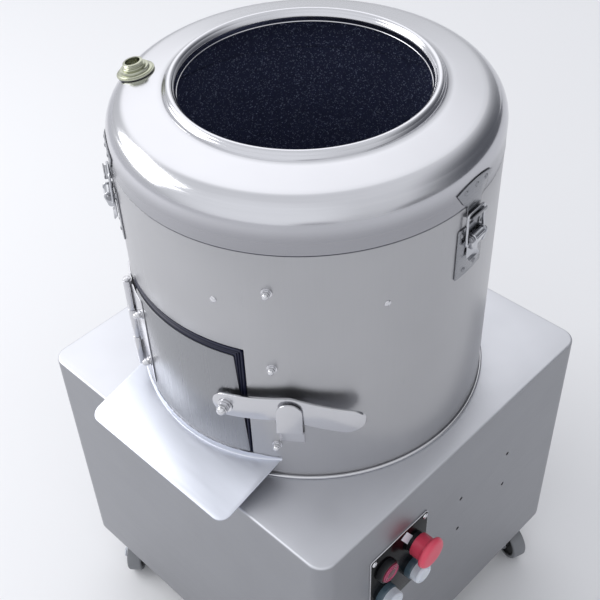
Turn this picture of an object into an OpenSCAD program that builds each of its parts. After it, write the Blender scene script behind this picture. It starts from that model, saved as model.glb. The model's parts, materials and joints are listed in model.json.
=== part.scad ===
// Batch potato peeler: a box base on castors, a drum with an abrasive lining and a
// turning disc, a lift-off lid held by draw latches, and a side discharge door.
// The origin is on the floor, on the drum's axis. +Z is up, the discharge door
// faces -Y and the control panel faces +X.

/* [Base housing] */
// Width of the base housing, along X
base_w = 458; // [440:1:540]
// Depth of the base housing, along Y
base_d = 458; // [440:1:540]
// Height of the base housing, without its castors
base_h = 345; // [335:1:420]
// Outer radius of the housing's upright corners
base_corner_r = 20; // [10:1:28]
// Sheet thickness of the housing
base_sheet = 1.5; // [1:0.1:3]
// Side of the square bars in the base frame
frame_bar = 30; // [20:1:34]
// Height of the motor rails' underside above the frame's bottom
rail_lift = 65; // [60:1:90]
// Width of the rear service cover
cover_w = 260; // [200:1:270]
// Height of the rear service cover
cover_h = 210; // [150:1:230]
// Lap of the rear cover over its opening, on each side
cover_lap = 14; // [8:1:25]

/* [Castors] */
// Radius of a castor wheel
wheel_r = 25; // [20:0.5:35]
// Width of a castor wheel
wheel_w = 20; // [14:0.5:24]
// Radius of a castor's axle
axle_r = 4; // [3:0.25:5]
// Distance from a castor's swivel axis to its axle
castor_trail = 28; // [22:1:32]
// Side of a castor's square top plate
castor_plate_w = 60; // [50:1:70]
// Distance from the housing's side to each swivel axis
castor_inset = 41; // [36:1:60]
// Thickness of the castor's pressed metal
castor_sheet = 2.5; // [2:0.1:3.5]
// Height of the castor's swivel race
race_h = 9.5; // [7:0.5:14]

/* [Drum] */
// Outer radius of the drum
drum_r = 200; // [185:1:208]
// Sheet thickness of the drum
drum_sheet = 1.5; // [1:0.1:3]
// Height of the drum above the base, up to the lid's joint
drum_h = 314; // [290:1:380]
// Depth of the chamber floor's top below the base's top
floor_drop = 22; // [18:1:40]
// Thickness of the chamber floor
floor_t = 3; // [2:0.5:6]
// Thickness of the abrasive lining
liner_t = 8; // [5:0.5:12]
// Radius of the round bead where the drum meets the base
bead_r = 2; // [1.5:0.25:3]
// Azimuth of the lining's clamp strip and its bolts
strip_az = -57; // [-60:1:-50]
// Height of the clamp strip's lowest bolt above the base's top
strip_bolt_low = 54; // [50:1:60]
// Height of the clamp strip's middle bolt above the base's top
strip_bolt_mid = 170; // [165:1:185]
// Height of the clamp strip's highest bolt above the base's top
strip_bolt_high = 270; // [240:1:275]
// Width of the clamp strip
strip_w = 14; // [12:1:20]
// Thickness of the clamp strip
strip_t = 5; // [3:0.5:8]

/* [Discharge door] */
// Azimuth of the middle of the door
door_az = -90; // [-92:0.5:-88]
// Half of the door's angle around the drum
door_half_angle = 21.9; // [20:0.1:23]
// Gap between the tray's turned-up edge and the door's lower edge
door_clear = 9; // [8:0.5:14]
// Height of the door
door_h = 144; // [135:1:160]
// Plate thickness of the door
door_t = 2; // [1.5:0.1:3]
// Gap between the door's upright edges and its opening, at the door's top
door_gap = 10.5; // [9.5:0.5:12]
// How much further out the door's free edge stands at its foot than at its top
door_lean = 7.5; // [0:0.5:9]
// Gap between the door's lower edge and its opening
door_low_gap = 3; // [2.5:0.25:4]
// Gap between the door's upper edge and its opening
door_top_gap = 10.5; // [6:0.5:12]
// Thickness of the door's rubber gasket
gasket_t = 6; // [4:0.5:7]
// Running gap between the gasket and the opening
gasket_gap = 2; // [1:0.25:3]
// Azimuth of the door's hinge pin
hinge_az = -118.5; // [-121:0.5:-118]
// Height of the hinge's lower end over the door's lower edge
hinge_lift = 12; // [8:1:20]
// Length of the hinge
hinge_len = 126; // [90:1:140]
// Radius of the hinge knuckles
knuckle_r = 5; // [4:0.25:6]
// Radius of the hinge pin
hinge_pin_r = 2.5; // [2:0.25:3]
// Thickness of the hinge leaves
leaf_t = 2; // [1.5:0.1:2.5]

/* [Door lever] */
// Azimuth of the lever's pivot
lever_az = -71.3; // [-72:0.1:-70]
// Height of the lever's pivot above the base's top
lever_z = 109; // [95:1:125]
// Width of the lever
lever_w = 31; // [24:1:36]
// Thickness of the lever
lever_t = 3; // [2:0.25:4]
// Gap between the door and the lever
lever_standoff = 4; // [3:0.25:6]
// Radius of the lever's own curve
lever_curve_r = 250; // [240:1:300]
// Distance from the pivot to the lever's knee
lever_knee = 68; // [60:1:75]
// Rise of the knee over the pivot
lever_rise = 13; // [0:1:16]
// Distance from the pivot to the middle of the lever's rounded end
lever_reach = 123; // [110:1:130]
// Radius of the lever's pivot bolt
pivot_r = 5; // [4:0.25:6]
// Azimuth of the keeper that holds the lever
keeper_az = -52.3; // [-53.5:0.1:-51.5]
// Width of the keeper
keeper_w = 27; // [20:1:30]
// Distance of the keeper's tab from the drum
keeper_out = 14; // [13.5:0.5:18]
// Top of the keeper above the base's top
keeper_top = 134; // [128:1:140]

/* [Discharge tray] */
// Width of the tray
tray_w = 225; // [180:1:240]
// Length of the tray past the base's front
tray_overhang = 28.5; // [10:0.5:60]
// Height of the tray over the base's top, where it meets the drum's front
tray_in_z = 19; // [16:0.5:24]
// Height of the tray over the base's top, at its outer edge
tray_out_z = 3; // [2.5:0.5:8]
// Sheet thickness of the tray
tray_t = 1.5; // [1:0.1:2]
// Radius of the tray's outer corners
tray_corner_r = 14; // [4:1:30]
// Height of the tray's turned-up edge along the drum
tray_flange = 6; // [3:0.5:7]

/* [Lid] */
// Thickness of the rubber seal under the lid
seal_t = 2.5; // [1.5:0.1:4]
// Sheet thickness of the lid
lid_sheet = 1.5; // [1:0.1:2.5]
// Height of the lid's upright wall
lid_wall_h = 23.5; // [15:0.5:40]
// Radius of the lid's shoulder
shoulder_r = 26; // [20:1:32]
// Radius of the feed mouth
mouth_r = 126; // [100:1:135]
// Radius of the round section of the mouth's rolled ring
ring_r = 7; // [5:0.5:9]
// Height of the ring's middle over the shoulder's middle
ring_rise = 32.5; // [30:0.5:60]
// Depth of the mouth's turned-down lip
lip_h = 5; // [5:1:15]

/* [Water inlet] */
// Distance of the inlet from the drum's axis
inlet_r_pos = 174; // [165:1:175]
// Azimuth of the inlet
inlet_az = -147.5; // [-150:0.5:-140]
// Radius of the inlet's flange
inlet_flange_r = 20; // [15:0.5:21]
// Radius of the inlet's hose thread
inlet_spigot_r = 10.4; // [8:0.1:11]
// Length of the inlet's hose thread
inlet_spigot_h = 6; // [5:1:15]

/* [Draw latches] */
// Azimuth of the first latch
latch_az = 4.5; // [0:0.5:10]
// Angle from one latch to the next
latch_step = 116.25; // [114:0.25:120]
// Distance from the lid's joint down to the latch lever's pivot
latch_drop = 37.5; // [37:0.5:46]
// Width of a latch's base plate
latch_plate_w = 44; // [40:1:56]
// Length of a latch lever's grip
latch_grip = 20; // [12:1:26]
// Inner width of a latch's loop
latch_loop_w = 26; // [24:1:30]
// Width of a latch's strike
strike_w = 57; // [48:1:60]
// Height of a latch's strike
strike_h = 25; // [24:0.5:30]

/* [Disc and drive] */
// Gap between the disc and the lining
disc_gap = 4; // [2.5:0.5:8]
// Thickness of the disc
disc_t = 11; // [8:0.5:16]
// Height of the disc's underside over the base's top
disc_lift = 4; // [3:0.5:8]
// Height of the disc's waves over its face
wave_h = 9; // [4:0.5:14]
// Number of waves on the disc
wave_count = 3; // [2:1:5]
// Radius of the drive shaft
shaft_r = 12.5; // [10:0.5:15]
// Outer radius of the shaft's bearings
bearing_r = 26; // [24:0.5:28]
// Width of the shaft's bearings
bearing_w = 15; // [12:0.5:18]
// Length of the bearing housing
housing_len = 180; // [120:1:185]
// Outer radius of the driven pulley
pulley_r = 95; // [70:1:105]
// Outer radius of the motor pulley
motor_pulley_r = 34; // [28:1:38]
// Width of both pulleys
pulley_w = 22; // [20:0.5:26]
// Distance between the pulleys' axes
belt_centres = 150; // [148:1:152]
// Width of the belt
belt_w = 13; // [10:0.5:15]
// Thickness of the belt
belt_t = 8; // [6:0.5:9]
// Radius of the motor
motor_r = 62; // [50:1:66]
// Height of the motor
motor_h = 165; // [120:1:175]
// Radius of the motor's shaft
motor_shaft_r = 9.5; // [8:0.5:12]

/* [Drain and cable] */
// Outer radius of the drain pipe
drain_r = 25; // [20:0.5:28]
// Wall of the drain pipe
drain_wall = 2; // [1.5:0.1:3]
// Length of the drain pipe past the housing's side
drain_out = 31; // [25:1:60]
// Distance of the drain hole from the drum's axis
drain_hole_x = 150; // [140:1:155]
// Length of the cable gland past the housing's rear
gland_out = 28.5; // [24:0.5:34]
// Radius of the cable gland's thread
gland_r = 11; // [8:0.5:13]
// Distance from the cable gland to the base's +X side
gland_inset = 57; // [54:1:61]
// Height of the cable gland above the base's underside
gland_z = 120; // [115:1:150]

/* [Controls] */
// Width of the control panel, along Y
panel_w = 98; // [96:1:110]
// Height of the control panel
panel_h = 118; // [96:1:130]
// Thickness of the control panel
panel_t = 2; // [1:0.25:4]
// Place of the panel's middle along Y
panel_y = -107; // [-115:1:-100]
// Distance from the base's top down to the panel's middle
panel_drop = 118; // [110:1:140]
// Distance between neighbouring controls
control_pitch = 50; // [46:1:52]
// Outer radius of the control bezels
bezel_r = 15; // [14:0.25:16]
// Length of the control bezels in front of the panel
bezel_h = 8; // [7:0.25:10]
// Radius of the start and stop buttons
button_r = 13.3; // [12.5:0.1:13.5]
// Travel of the start and stop buttons
button_travel = 3; // [1:0.25:3.5]
// Radius of the emergency stop's head
estop_r = 20; // [17:0.5:22]
// Travel of the emergency stop
estop_travel = 5; // [2:0.25:5.5]
// Spacing of the side fixing holes, along Y
side_hole_dy = 92; // [60:1:100]
// Spacing of the side fixing holes, along Z
side_hole_dz = 60; // [40:1:80]
// Radius of the side fixing holes
side_hole_r = 2.7; // [2:0.1:4]

/* [Hidden] */

// Fits
running_fit = 0.05;   // radial gap of a shaft in its hole
seat_fit = 0.1;       // gap between pieces seated on each other
side_fit = 0.3;       // gap between pieces that move past each other
through = 1;          // overshoot of a cutting shape

// Levels above the floor
wheel_gap = 5;
castor_plate_t = 3;
frame_z = 2 * wheel_r + wheel_gap + castor_sheet + race_h + castor_plate_t;
deck_z = frame_z + base_h;
floor_top = deck_z - floor_drop;
floor_low = floor_top - floor_t;
drum_top = deck_z + drum_h;
disc_low = deck_z + disc_lift;
disc_top = disc_low + disc_t;

// Radii around the drum's axis
drum_in = drum_r - drum_sheet;
liner_out = drum_in - seat_fit;
liner_in = liner_out - liner_t;
disc_r = liner_in - disc_gap;
deck_hole_r = drum_r + seat_fit;

main_fn = 180;
mid_fn = 64;
small_fn = 32;

// ---- Shared shapes ----

// A tube standing on the drum's axis
module tube(r_in, r_out, z_low, z_high) {
    translate([0, 0, z_low])
        difference() {
            cylinder(r = r_out, h = z_high - z_low, $fn = main_fn);
            translate([0, 0, -through])
                cylinder(r = r_in, h = z_high - z_low + 2 * through, $fn = main_fn);
        }
}

// A piece of such a tube, around the azimuth az and half_angle to each side
module tube_sector(r_in, r_out, z_low, z_high, az, half_angle) {
    rotate([0, 0, az - half_angle])
        rotate_extrude(angle = 2 * half_angle, $fn = main_fn)
            translate([r_in, z_low])
                square([r_out - r_in, z_high - z_low]);
}

// Children stand at an azimuth: their +X points outward, +Y along the wall, +Z up
module at_wall(az, r, z) {
    rotate([0, 0, az])
        translate([r, 0, z])
            children();
}

// A cylinder along X
module rod_x(r, x_low, x_high, sides = mid_fn) {
    translate([x_low, 0, 0])
        rotate([0, 90, 0])
            cylinder(r = r, h = x_high - x_low, $fn = sides);
}

// A cylinder along Y, centred on y = 0
module rod_y(r, length, sides = small_fn) {
    rotate([90, 0, 0])
        cylinder(r = r, h = length, center = true, $fn = sides);
}

// A flat plate with round corners
module rounded_plate(w, d, r, h) {
    linear_extrude(height = h) {
        square([w - 2 * r, d], center = true);
        square([w, d - 2 * r], center = true);
        for (sx = [-1, 1], sy = [-1, 1])
            translate([sx * (w / 2 - r), sy * (d / 2 - r)])
                circle(r = r, $fn = mid_fn);
    }
}

// A closed nut with its washer, standing out along X from x = 0
module acorn_nut(size) {
    rod_x(size * 1.25, 0, 1.5);
    rod_x(size, 1.5, 1.5 + size, 6);
    translate([1.5 + size, 0, 0])
        sphere(r = size * 0.8, $fn = small_fn);
}

function arc_angle(length, r) = length / r * 180 / PI;

// ---- Base housing ----

side_x = base_w / 2;
rear_y = base_d / 2;
panel_z = deck_z - panel_drop;
panel_front = side_x + panel_t;
barrel_r = 11;
barrel_len = 16;
screw_r = 2;
screw_inset = 6;
side_holes_y = side_hole_dy / 2 + 9;
side_holes_z = deck_z - 107.5 - side_hole_dz / 2;
gland_height = frame_z + gland_z;
gland_x = side_x - gland_inset;

// Drain: the pipe drops from the floor and bends towards -X
drain_bend = 35;
drain_drop = 10;
drain_collar = 4;
gland_seat = 1;
drain_axis_z = floor_low - drain_drop - drain_bend;

module at_controls(rows = [-1, 1], columns = [-1, 1]) {
    for (row = rows, column = columns)
        translate([panel_front, panel_y + column * control_pitch / 2, panel_z + row * control_pitch / 2])
            children();
}

module at_panel_screws() {
    for (sy = [-1, 1], sz = [-1, 1])
        translate([panel_front, panel_y + sy * (panel_w / 2 - screw_inset), panel_z + sz * (panel_h / 2 - screw_inset)])
            children();
}

module base_housing() {
    color("lightgray")
        difference() {
            translate([0, 0, frame_z])
                rounded_plate(base_w, base_d, base_corner_r, base_h);
            translate([0, 0, frame_z - through])
                rounded_plate(base_w - 2 * base_sheet, base_d - 2 * base_sheet, base_corner_r - base_sheet, base_h - base_sheet + through);
            translate([0, 0, deck_z - base_sheet - through])
                cylinder(r = deck_hole_r, h = base_sheet + 2 * through, $fn = main_fn);
            at_controls()
                rod_x(barrel_r + seat_fit, -barrel_len, through);
            at_panel_screws()
                rod_x(screw_r + seat_fit, -barrel_len, through);
            for (sy = [-1, 1], sz = [-1, 1])
                translate([side_x, side_holes_y + sy * side_hole_dy / 2, side_holes_z + sz * side_hole_dz / 2])
                    rod_x(side_hole_r, -base_sheet - through, through);
            translate([-side_x, 0, drain_axis_z])
                rod_x(drain_r + seat_fit, -through, base_sheet + through);
            translate([gland_x, rear_y, gland_height])
                rotate([0, 0, 90])
                    rod_x(gland_r + seat_fit, -base_sheet - through, through);
            translate([-cover_w / 2, rear_y - base_sheet - through, frame_z + (base_h - cover_h) / 2])
                cube([cover_w, base_sheet + 2 * through, cover_h]);
        }
}

frame_gap = 0.5;
frame_w = base_w - 2 * (base_sheet + frame_gap);
frame_d = base_d - 2 * (base_sheet + frame_gap);
frame_corner_r = base_corner_r - base_sheet - frame_gap;
rail_z = frame_z + rail_lift;
rail_top = rail_z + frame_bar;
motor_rail_y = belt_centres - motor_r;
gusset_w = 80;
gusset_t = 5;

module frame_ring(z) {
    translate([0, 0, z])
        difference() {
            rounded_plate(frame_w, frame_d, frame_corner_r, frame_bar);
            translate([frame_bar - frame_w / 2, frame_bar - frame_d / 2, -through])
                cube([frame_w - 2 * frame_bar, frame_d - 2 * frame_bar, frame_bar + 2 * through]);
        }
}

module base_frame() {
    color("silver") {
        frame_ring(frame_z);
        frame_ring(rail_z);
        translate([-frame_w / 2 + frame_bar / 2, motor_rail_y - frame_bar / 2, rail_z])
            cube([frame_w - frame_bar, frame_bar, frame_bar]);
        intersection() {
            translate([0, 0, frame_z])
                rounded_plate(frame_w, frame_d, frame_corner_r, base_h);
            for (sx = [-1, 1], sy = [-1, 1]) {
                translate([sx * (frame_w - frame_bar) / 2, sy * (frame_d - frame_bar) / 2, (frame_z + deck_z - base_sheet - seat_fit) / 2])
                    cube([frame_bar, frame_bar, base_h - base_sheet - seat_fit], center = true);
                translate([sx * (frame_w - gusset_w) / 2, sy * (frame_d - gusset_w) / 2, frame_z + gusset_t / 2])
                    cube([gusset_w, gusset_w, gusset_t], center = true);
            }
        }
    }
}

slot_count = 5;
slot_w = 70;
slot_h = 6;
slot_pitch = 16;

module rear_cover() {
    cover_z = frame_z + base_h / 2;
    color("gainsboro")
        difference() {
            translate([0, rear_y + base_sheet / 2, cover_z])
                cube([cover_w + 2 * cover_lap, base_sheet, cover_h + 2 * cover_lap], center = true);
            for (sx = [-1, 1], i = [0 : slot_count - 1])
                translate([sx * cover_w / 4, rear_y, cover_z + (i - (slot_count - 1) / 2) * slot_pitch])
                    cube([slot_w, 4 * base_sheet, slot_h], center = true);
        }
}

// ---- Castors ----

// Each castor's corner and the way its wheel trails
castor_x = side_x - castor_inset;
castor_y = rear_y - castor_inset;
castor_places = [[-1, -1, -50], [1, -1, -45], [1, 1, -20], [-1, 1, -120]];
crown_low = 2 * wheel_r + wheel_gap;
crown_top = crown_low + castor_sheet;
crown_r = 22;
race_r = 19;
kingpin_r = 5;
leg_gap = 1.5;

module at_castor(i) {
    place = castor_places[i];
    translate([place[0] * castor_x, place[1] * castor_y, 0])
        rotate([0, 0, place[2]])
            children();
}

module castor_plates() {
    color("silver")
        for (i = [0 : 3])
            translate([castor_places[i][0] * castor_x, castor_places[i][1] * castor_y, 0])
                difference() {
                    union() {
                        translate([0, 0, frame_z - castor_plate_t / 2])
                            cube([castor_plate_w, castor_plate_w, castor_plate_t], center = true);
                        translate([0, 0, crown_top + side_fit])
                            cylinder(r = race_r, h = race_h - side_fit, $fn = mid_fn);
                    }
                    translate([0, 0, crown_top])
                        cylinder(r = kingpin_r + running_fit, h = race_h + castor_plate_t + through, $fn = mid_fn);
                }
}

module castor_leg() {
    linear_extrude(height = castor_sheet, center = true) {
        polygon([[-crown_r * 0.6, crown_top], [crown_r, crown_top], [castor_trail + axle_r + 3, wheel_r], [castor_trail - axle_r - 4, wheel_r - 3]]);
        translate([castor_trail, wheel_r])
            circle(r = axle_r + 4, $fn = small_fn);
    }
}

module castor_fork(i) {
    leg_y = wheel_w / 2 + leg_gap + castor_sheet / 2;
    color("silver")
        at_castor(i) {
            difference() {
                union() {
                    translate([0, 0, crown_low])
                        cylinder(r = crown_r, h = castor_sheet, $fn = mid_fn);
                    translate([0, 0, crown_low])
                        cylinder(r = kingpin_r, h = castor_sheet + race_h + castor_plate_t - frame_gap, $fn = mid_fn);
                    for (side = [-1, 1])
                        translate([0, side * leg_y, 0])
                            rotate([90, 0, 0])
                                castor_leg();
                }
                translate([castor_trail, 0, wheel_r])
                    rod_y(axle_r + seat_fit, 2 * leg_y + 4 * castor_sheet);
            }
            translate([castor_trail, 0, wheel_r]) {
                rod_y(axle_r, 2 * leg_y + 2 * castor_sheet);
                for (side = [-1, 1])
                    translate([0, side * (leg_y + castor_sheet + 1), 0])
                        rod_y(axle_r + 2.5, castor_sheet);
            }
        }
}

module castor_wheel(i) {
    color("dimgray")
        at_castor(i)
            translate([castor_trail, 0, wheel_r])
                difference() {
                    rod_y(wheel_r, wheel_w, mid_fn);
                    rod_y(axle_r + running_fit, wheel_w + 2 * through);
                    for (side = [-1, 1])
                        translate([0, side * wheel_w / 2, 0])
                            difference() {
                                rod_y(wheel_r * 0.72, 4, mid_fn);
                                rod_y(axle_r + 4, 6);
                            }
                }
}

// ---- Drum ----

door_z_low = deck_z + tray_in_z + tray_flange + door_clear;
door_z_high = door_z_low + door_h;
opening_half_angle = door_half_angle + arc_angle(door_gap, drum_r);
strip_bolts = [strip_bolt_low, strip_bolt_mid, strip_bolt_high];
hinge_z = door_z_low + hinge_lift;
bolt_r = 3;
leaf_bolt_low = 30;
leaf_bolt_high = 102;
body_leaf_bolt_az = hinge_az - 5.5;
door_leaf_bolt_az = hinge_az + 9.3;

module discharge_cut() {
    tube_sector(liner_in - through, drum_r + through, door_z_low - door_low_gap, door_z_high + door_top_gap, door_az, opening_half_angle);
}

// Children stand at each bolt through the wall, at the drum's axis
module at_strip_bolts() {
    for (z = strip_bolts)
        at_wall(strip_az, 0, deck_z + z)
            children();
}

module at_leaf_bolts(az) {
    for (z = [leaf_bolt_low, leaf_bolt_high])
        at_wall(az, 0, hinge_z + z)
            children();
}

module wall_bolt_holes() {
    at_strip_bolts()
        rod_x(bolt_r + seat_fit, liner_in - strip_t - through, drum_r + through, small_fn);
    at_leaf_bolts(body_leaf_bolt_az)
        rod_x(bolt_r + seat_fit, liner_in - through, drum_r + leaf_t + through, small_fn);
}

module drum_shell() {
    color("lightgray")
        difference() {
            union() {
                tube(drum_in, drum_r, floor_low, drum_top);
                rotate_extrude($fn = main_fn)
                    translate([drum_r + bead_r - side_fit, deck_z + bead_r + seat_fit])
                        circle(r = bead_r, $fn = small_fn);
            }
            discharge_cut();
            wall_bolt_holes();
        }
}

spigot_depth = 8;
liner_drop = spigot_depth + 4;

module drum_liner() {
    color("darkslategray")
        difference() {
            tube(liner_in, liner_out, floor_top + seat_fit, drum_top - liner_drop);
            discharge_cut();
            wall_bolt_holes();
        }
}

strip_end = 20;

module liner_strip() {
    color("silver")
        difference() {
            tube_sector(
                liner_in - strip_t, liner_in - seat_fit,
                deck_z + strip_bolt_low - strip_end, deck_z + strip_bolt_high + strip_end,
                strip_az, arc_angle(strip_w / 2, liner_in)
            );
            wall_bolt_holes();
        }
}

// A bolt through the wall: its round head inside at r_in, its closed nut outside at r_out
module through_bolt(r_in, r_out) {
    rod_x(bolt_r, r_in - 1, r_out + 2, small_fn);
    rod_x(bolt_r * 1.9, r_in - 3, r_in - side_fit);
    translate([r_out + seat_fit, 0, 0])
        acorn_nut(bolt_r * 1.9);
}

module wall_bolts() {
    color("white") {
        at_strip_bolts()
            through_bolt(liner_in - strip_t, drum_r);
        at_leaf_bolts(body_leaf_bolt_az)
            through_bolt(liner_in, drum_r + leaf_t + seat_fit);
    }
}

neck_r = shaft_r + 11;
neck_rise = 8;
hub_r = shaft_r + 14;

module chamber_floor() {
    color("silver")
        difference() {
            tube(neck_r + seat_fit, drum_in - seat_fit, floor_low, floor_top);
            translate([-drain_hole_x, 0, floor_low - through])
                cylinder(r = drain_r - drain_wall, h = floor_t + 2 * through, $fn = mid_fn);
        }
}

// ---- Disc, shaft and drive ----

housing_z = floor_low - housing_len;
housing_end = 5;
flange_w = 30;
flange_t = 8;
seal_r = shaft_r + 8;
seal_h = 9;

module bearing_housing() {
    color("slategray")
        difference() {
            union() {
                tube(0.1, bearing_r + 7, housing_z, floor_low - seat_fit);
                tube(0.1, bearing_r + flange_w, floor_low - flange_t, floor_low - seat_fit);
                tube(0.1, neck_r, floor_low - flange_t, floor_top + neck_rise);
            }
            tube(0, shaft_r + 3, housing_z - through, floor_top + neck_rise + through);
            tube(0, bearing_r + seat_fit, housing_z - through, housing_z + housing_end + bearing_w);
            tube(0, bearing_r + seat_fit, floor_low - 10 - bearing_w, floor_low - 10);
            tube(0, seal_r + seat_fit, floor_top + neck_rise - seal_h, floor_top + neck_rise + through);
        }
}

module shaft_bearings() {
    color("silver") {
        tube(shaft_r + running_fit, bearing_r, housing_z + housing_end, housing_z + housing_end + bearing_w - seat_fit);
        tube(shaft_r + running_fit, bearing_r, floor_low - 10 - bearing_w + seat_fit, floor_low - 10 - seat_fit);
    }
}

module shaft_seal() {
    color("black")
        tube(shaft_r + running_fit, seal_r, floor_top + neck_rise - seal_h + seat_fit, floor_top + neck_rise - seat_fit);
}

pulley_z = frame_z + frame_bar + 4;
stub_r = 8;
stub_h = 14;
disc_washer_r = 22;
disc_washer_t = 3;

module drive_shaft() {
    color("silver") {
        translate([0, 0, pulley_z - 6])
            cylinder(r = shaft_r, h = disc_top - pulley_z + 6, $fn = mid_fn);
        translate([0, 0, disc_top - through])
            cylinder(r = stub_r, h = stub_h + through, $fn = mid_fn);
    }
}

wave_r = 40;
wave_inner = 42;
sweeper_t = 5;
sweeper_h = 12;

module abrasive_disc() {
    color("dimgray")
        difference() {
            union() {
                translate([0, 0, disc_low])
                    cylinder(r = disc_r, h = disc_t, $fn = main_fn);
                translate([0, 0, floor_top + neck_rise + 3])
                    cylinder(r = hub_r, h = disc_low - floor_top - neck_rise, $fn = mid_fn);
                intersection() {
                    translate([0, 0, disc_low + 1])
                        cylinder(r = disc_r - 5, h = disc_t + wave_h, $fn = main_fn);
                    for (i = [0 : wave_count - 1])
                        rotate([0, 0, i * 360 / wave_count])
                            translate([0, 0, disc_top + wave_h - wave_r])
                                rod_x(wave_r, wave_inner, disc_r);
                }
                for (i = [0, 1])
                    rotate([0, 0, i * 180 + 30])
                        translate([hub_r - 2, -sweeper_t / 2, disc_low - sweeper_h])
                            cube([disc_r - hub_r - 10, sweeper_t, sweeper_h + 1]);
            }
            translate([0, 0, floor_low])
                cylinder(r = shaft_r + seat_fit, h = disc_top - floor_low + through, $fn = mid_fn);
        }
}

module disc_nut() {
    color("silver")
        difference() {
            union() {
                translate([0, 0, disc_top + seat_fit])
                    cylinder(r = disc_washer_r, h = disc_washer_t, $fn = mid_fn);
                translate([0, 0, disc_top + disc_washer_t])
                    cylinder(r = stub_r * 1.9, h = stub_h - 2, $fn = 6);
                translate([0, 0, disc_top + stub_h])
                    sphere(r = stub_r * 1.35, $fn = mid_fn);
            }
            translate([0, 0, disc_top - through])
                cylinder(r = stub_r + seat_fit, h = stub_h + through + seat_fit, $fn = mid_fn);
        }
}

groove_floor = 1 + belt_t + side_fit;

module pulley(r, bore_r) {
    difference() {
        tube(bore_r + seat_fit, r, pulley_z, pulley_z + pulley_w);
        tube(r - groove_floor, r + through, pulley_z + (pulley_w - belt_w) / 2 - side_fit, pulley_z + (pulley_w + belt_w) / 2 + side_fit);
    }
}

module driven_pulley() {
    color("gray")
        pulley(pulley_r, shaft_r);
}

module motor_pulley() {
    color("gray")
        translate([0, belt_centres, 0])
            pulley(motor_pulley_r, motor_shaft_r);
}

module belt_loop(inset) {
    hull() {
        circle(r = pulley_r - inset, $fn = mid_fn);
        translate([0, belt_centres])
            circle(r = motor_pulley_r - inset, $fn = mid_fn);
    }
}

module v_belt() {
    color("black")
        translate([0, 0, pulley_z + (pulley_w - belt_w) / 2])
            linear_extrude(height = belt_w)
                difference() {
                    belt_loop(1);
                    belt_loop(1 + belt_t);
                }
}

motor_plate_t = 6;
motor_z = rail_top + seat_fit + motor_plate_t + seat_fit;
motor_seat = 12;

module motor_plate() {
    plate_y = motor_rail_y - frame_bar / 2;
    color("slategray")
        difference() {
            translate([-motor_r - 25, plate_y, rail_top + seat_fit])
                cube([2 * motor_r + 50, frame_d / 2 - 8 - plate_y, motor_plate_t]);
            translate([0, belt_centres, rail_top - through])
                cylinder(r = motor_shaft_r + 8, h = motor_plate_t + 2 * through, $fn = mid_fn);
        }
}

module motor_body() {
    color("darkgray")
        translate([0, belt_centres, motor_z])
            difference() {
                union() {
                    cylinder(r = motor_r + 8, h = 8, $fn = mid_fn);
                    cylinder(r = motor_r - 3, h = motor_h, $fn = mid_fn);
                    translate([0, 0, motor_h * 0.75])
                        cylinder(r = motor_r, h = motor_h * 0.25, $fn = mid_fn);
                    for (i = [0 : 17])
                        rotate([0, 0, i * 20 + 10])
                            translate([motor_r - 6, -1.5, 6])
                                cube([5, 3, motor_h * 0.75]);
                    translate([motor_r - 22, -28, motor_h * 0.3])
                        cube([46, 56, 60]);
                }
                translate([0, 0, -through])
                    cylinder(r = motor_shaft_r + running_fit, h = motor_seat + through, $fn = mid_fn);
            }
}

module motor_shaft() {
    color("silver")
        translate([0, belt_centres, pulley_z - 3])
            cylinder(r = motor_shaft_r, h = motor_z + motor_seat - side_fit - pulley_z + 3, $fn = mid_fn);
}

// ---- Drain and cable gland ----

module drain_run(r, extra) {
    translate([-drain_hole_x, 0, floor_low - drain_drop])
        cylinder(r = r, h = drain_drop - seat_fit + extra, $fn = mid_fn);
    translate([-drain_hole_x - drain_bend, 0, floor_low - drain_drop])
        rotate([90, 0, 0])
            rotate([0, 0, -90])
                rotate_extrude(angle = 90, $fn = main_fn)
                    translate([drain_bend, 0])
                        circle(r = r, $fn = mid_fn);
    translate([0, 0, drain_axis_z])
        rod_x(r, -side_x - drain_out - extra, -drain_hole_x - drain_bend);
}

module drain_pipe() {
    color("silver")
        difference() {
            union() {
                drain_run(drain_r, 0);
                translate([-drain_hole_x, 0, floor_low - seat_fit - 3])
                    cylinder(r = drain_r + 8, h = 3, $fn = mid_fn);
                translate([-side_x, 0, drain_axis_z])
                    rod_x(drain_r + 5, -side_fit - drain_collar, -side_fit);
            }
            drain_run(drain_r - drain_wall, through);
        }
}

module cable_gland() {
    color("dimgray")
        translate([gland_x, rear_y, gland_height])
            rotate([0, 0, 90]) {
                difference() {
                    union() {
                        rod_x(gland_r, -base_sheet - 7, 3);
                        rod_x(gland_r + 4, seat_fit, 7, 6);
                        rod_x(gland_r + 2.5, 7, gland_out - 4);
                        rod_x(gland_r, gland_out - 5, gland_out);
                    }
                    rod_x(gland_r - 5, gland_seat - through, gland_out + through);
                    rod_x(gland_r - 3, -base_sheet - 8, gland_seat);
                }
                difference() {
                    rod_x(gland_r + 4, -base_sheet - 5, -base_sheet - seat_fit, 6);
                    rod_x(gland_r + seat_fit, -base_sheet - 6, 0);
                }
            }
}

// ---- Discharge door ----

pin_r_pos = drum_r + knuckle_r + 1.5;
leaf_edge = 7.5;
knuckle_len = hinge_len / 3;
gasket_band = 12;
gasket_in = drum_r - gasket_t;
gasket_half_angle = opening_half_angle - arc_angle(gasket_gap, drum_r);
liner_half_angle = gasket_half_angle - arc_angle(gasket_band, drum_r);
gasket_low = door_z_low - door_low_gap + gasket_gap;
gasket_high = door_z_high + door_top_gap - gasket_gap;
lever_in = drum_r + door_t + lever_standoff;
lever_angle = atan2(lever_rise, lever_knee);
lever_end_rise = -4;
lever_hub_z = deck_z + lever_z;

module at_pivot() {
    at_wall(lever_az, 0, lever_hub_z)
        children();
}

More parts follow.
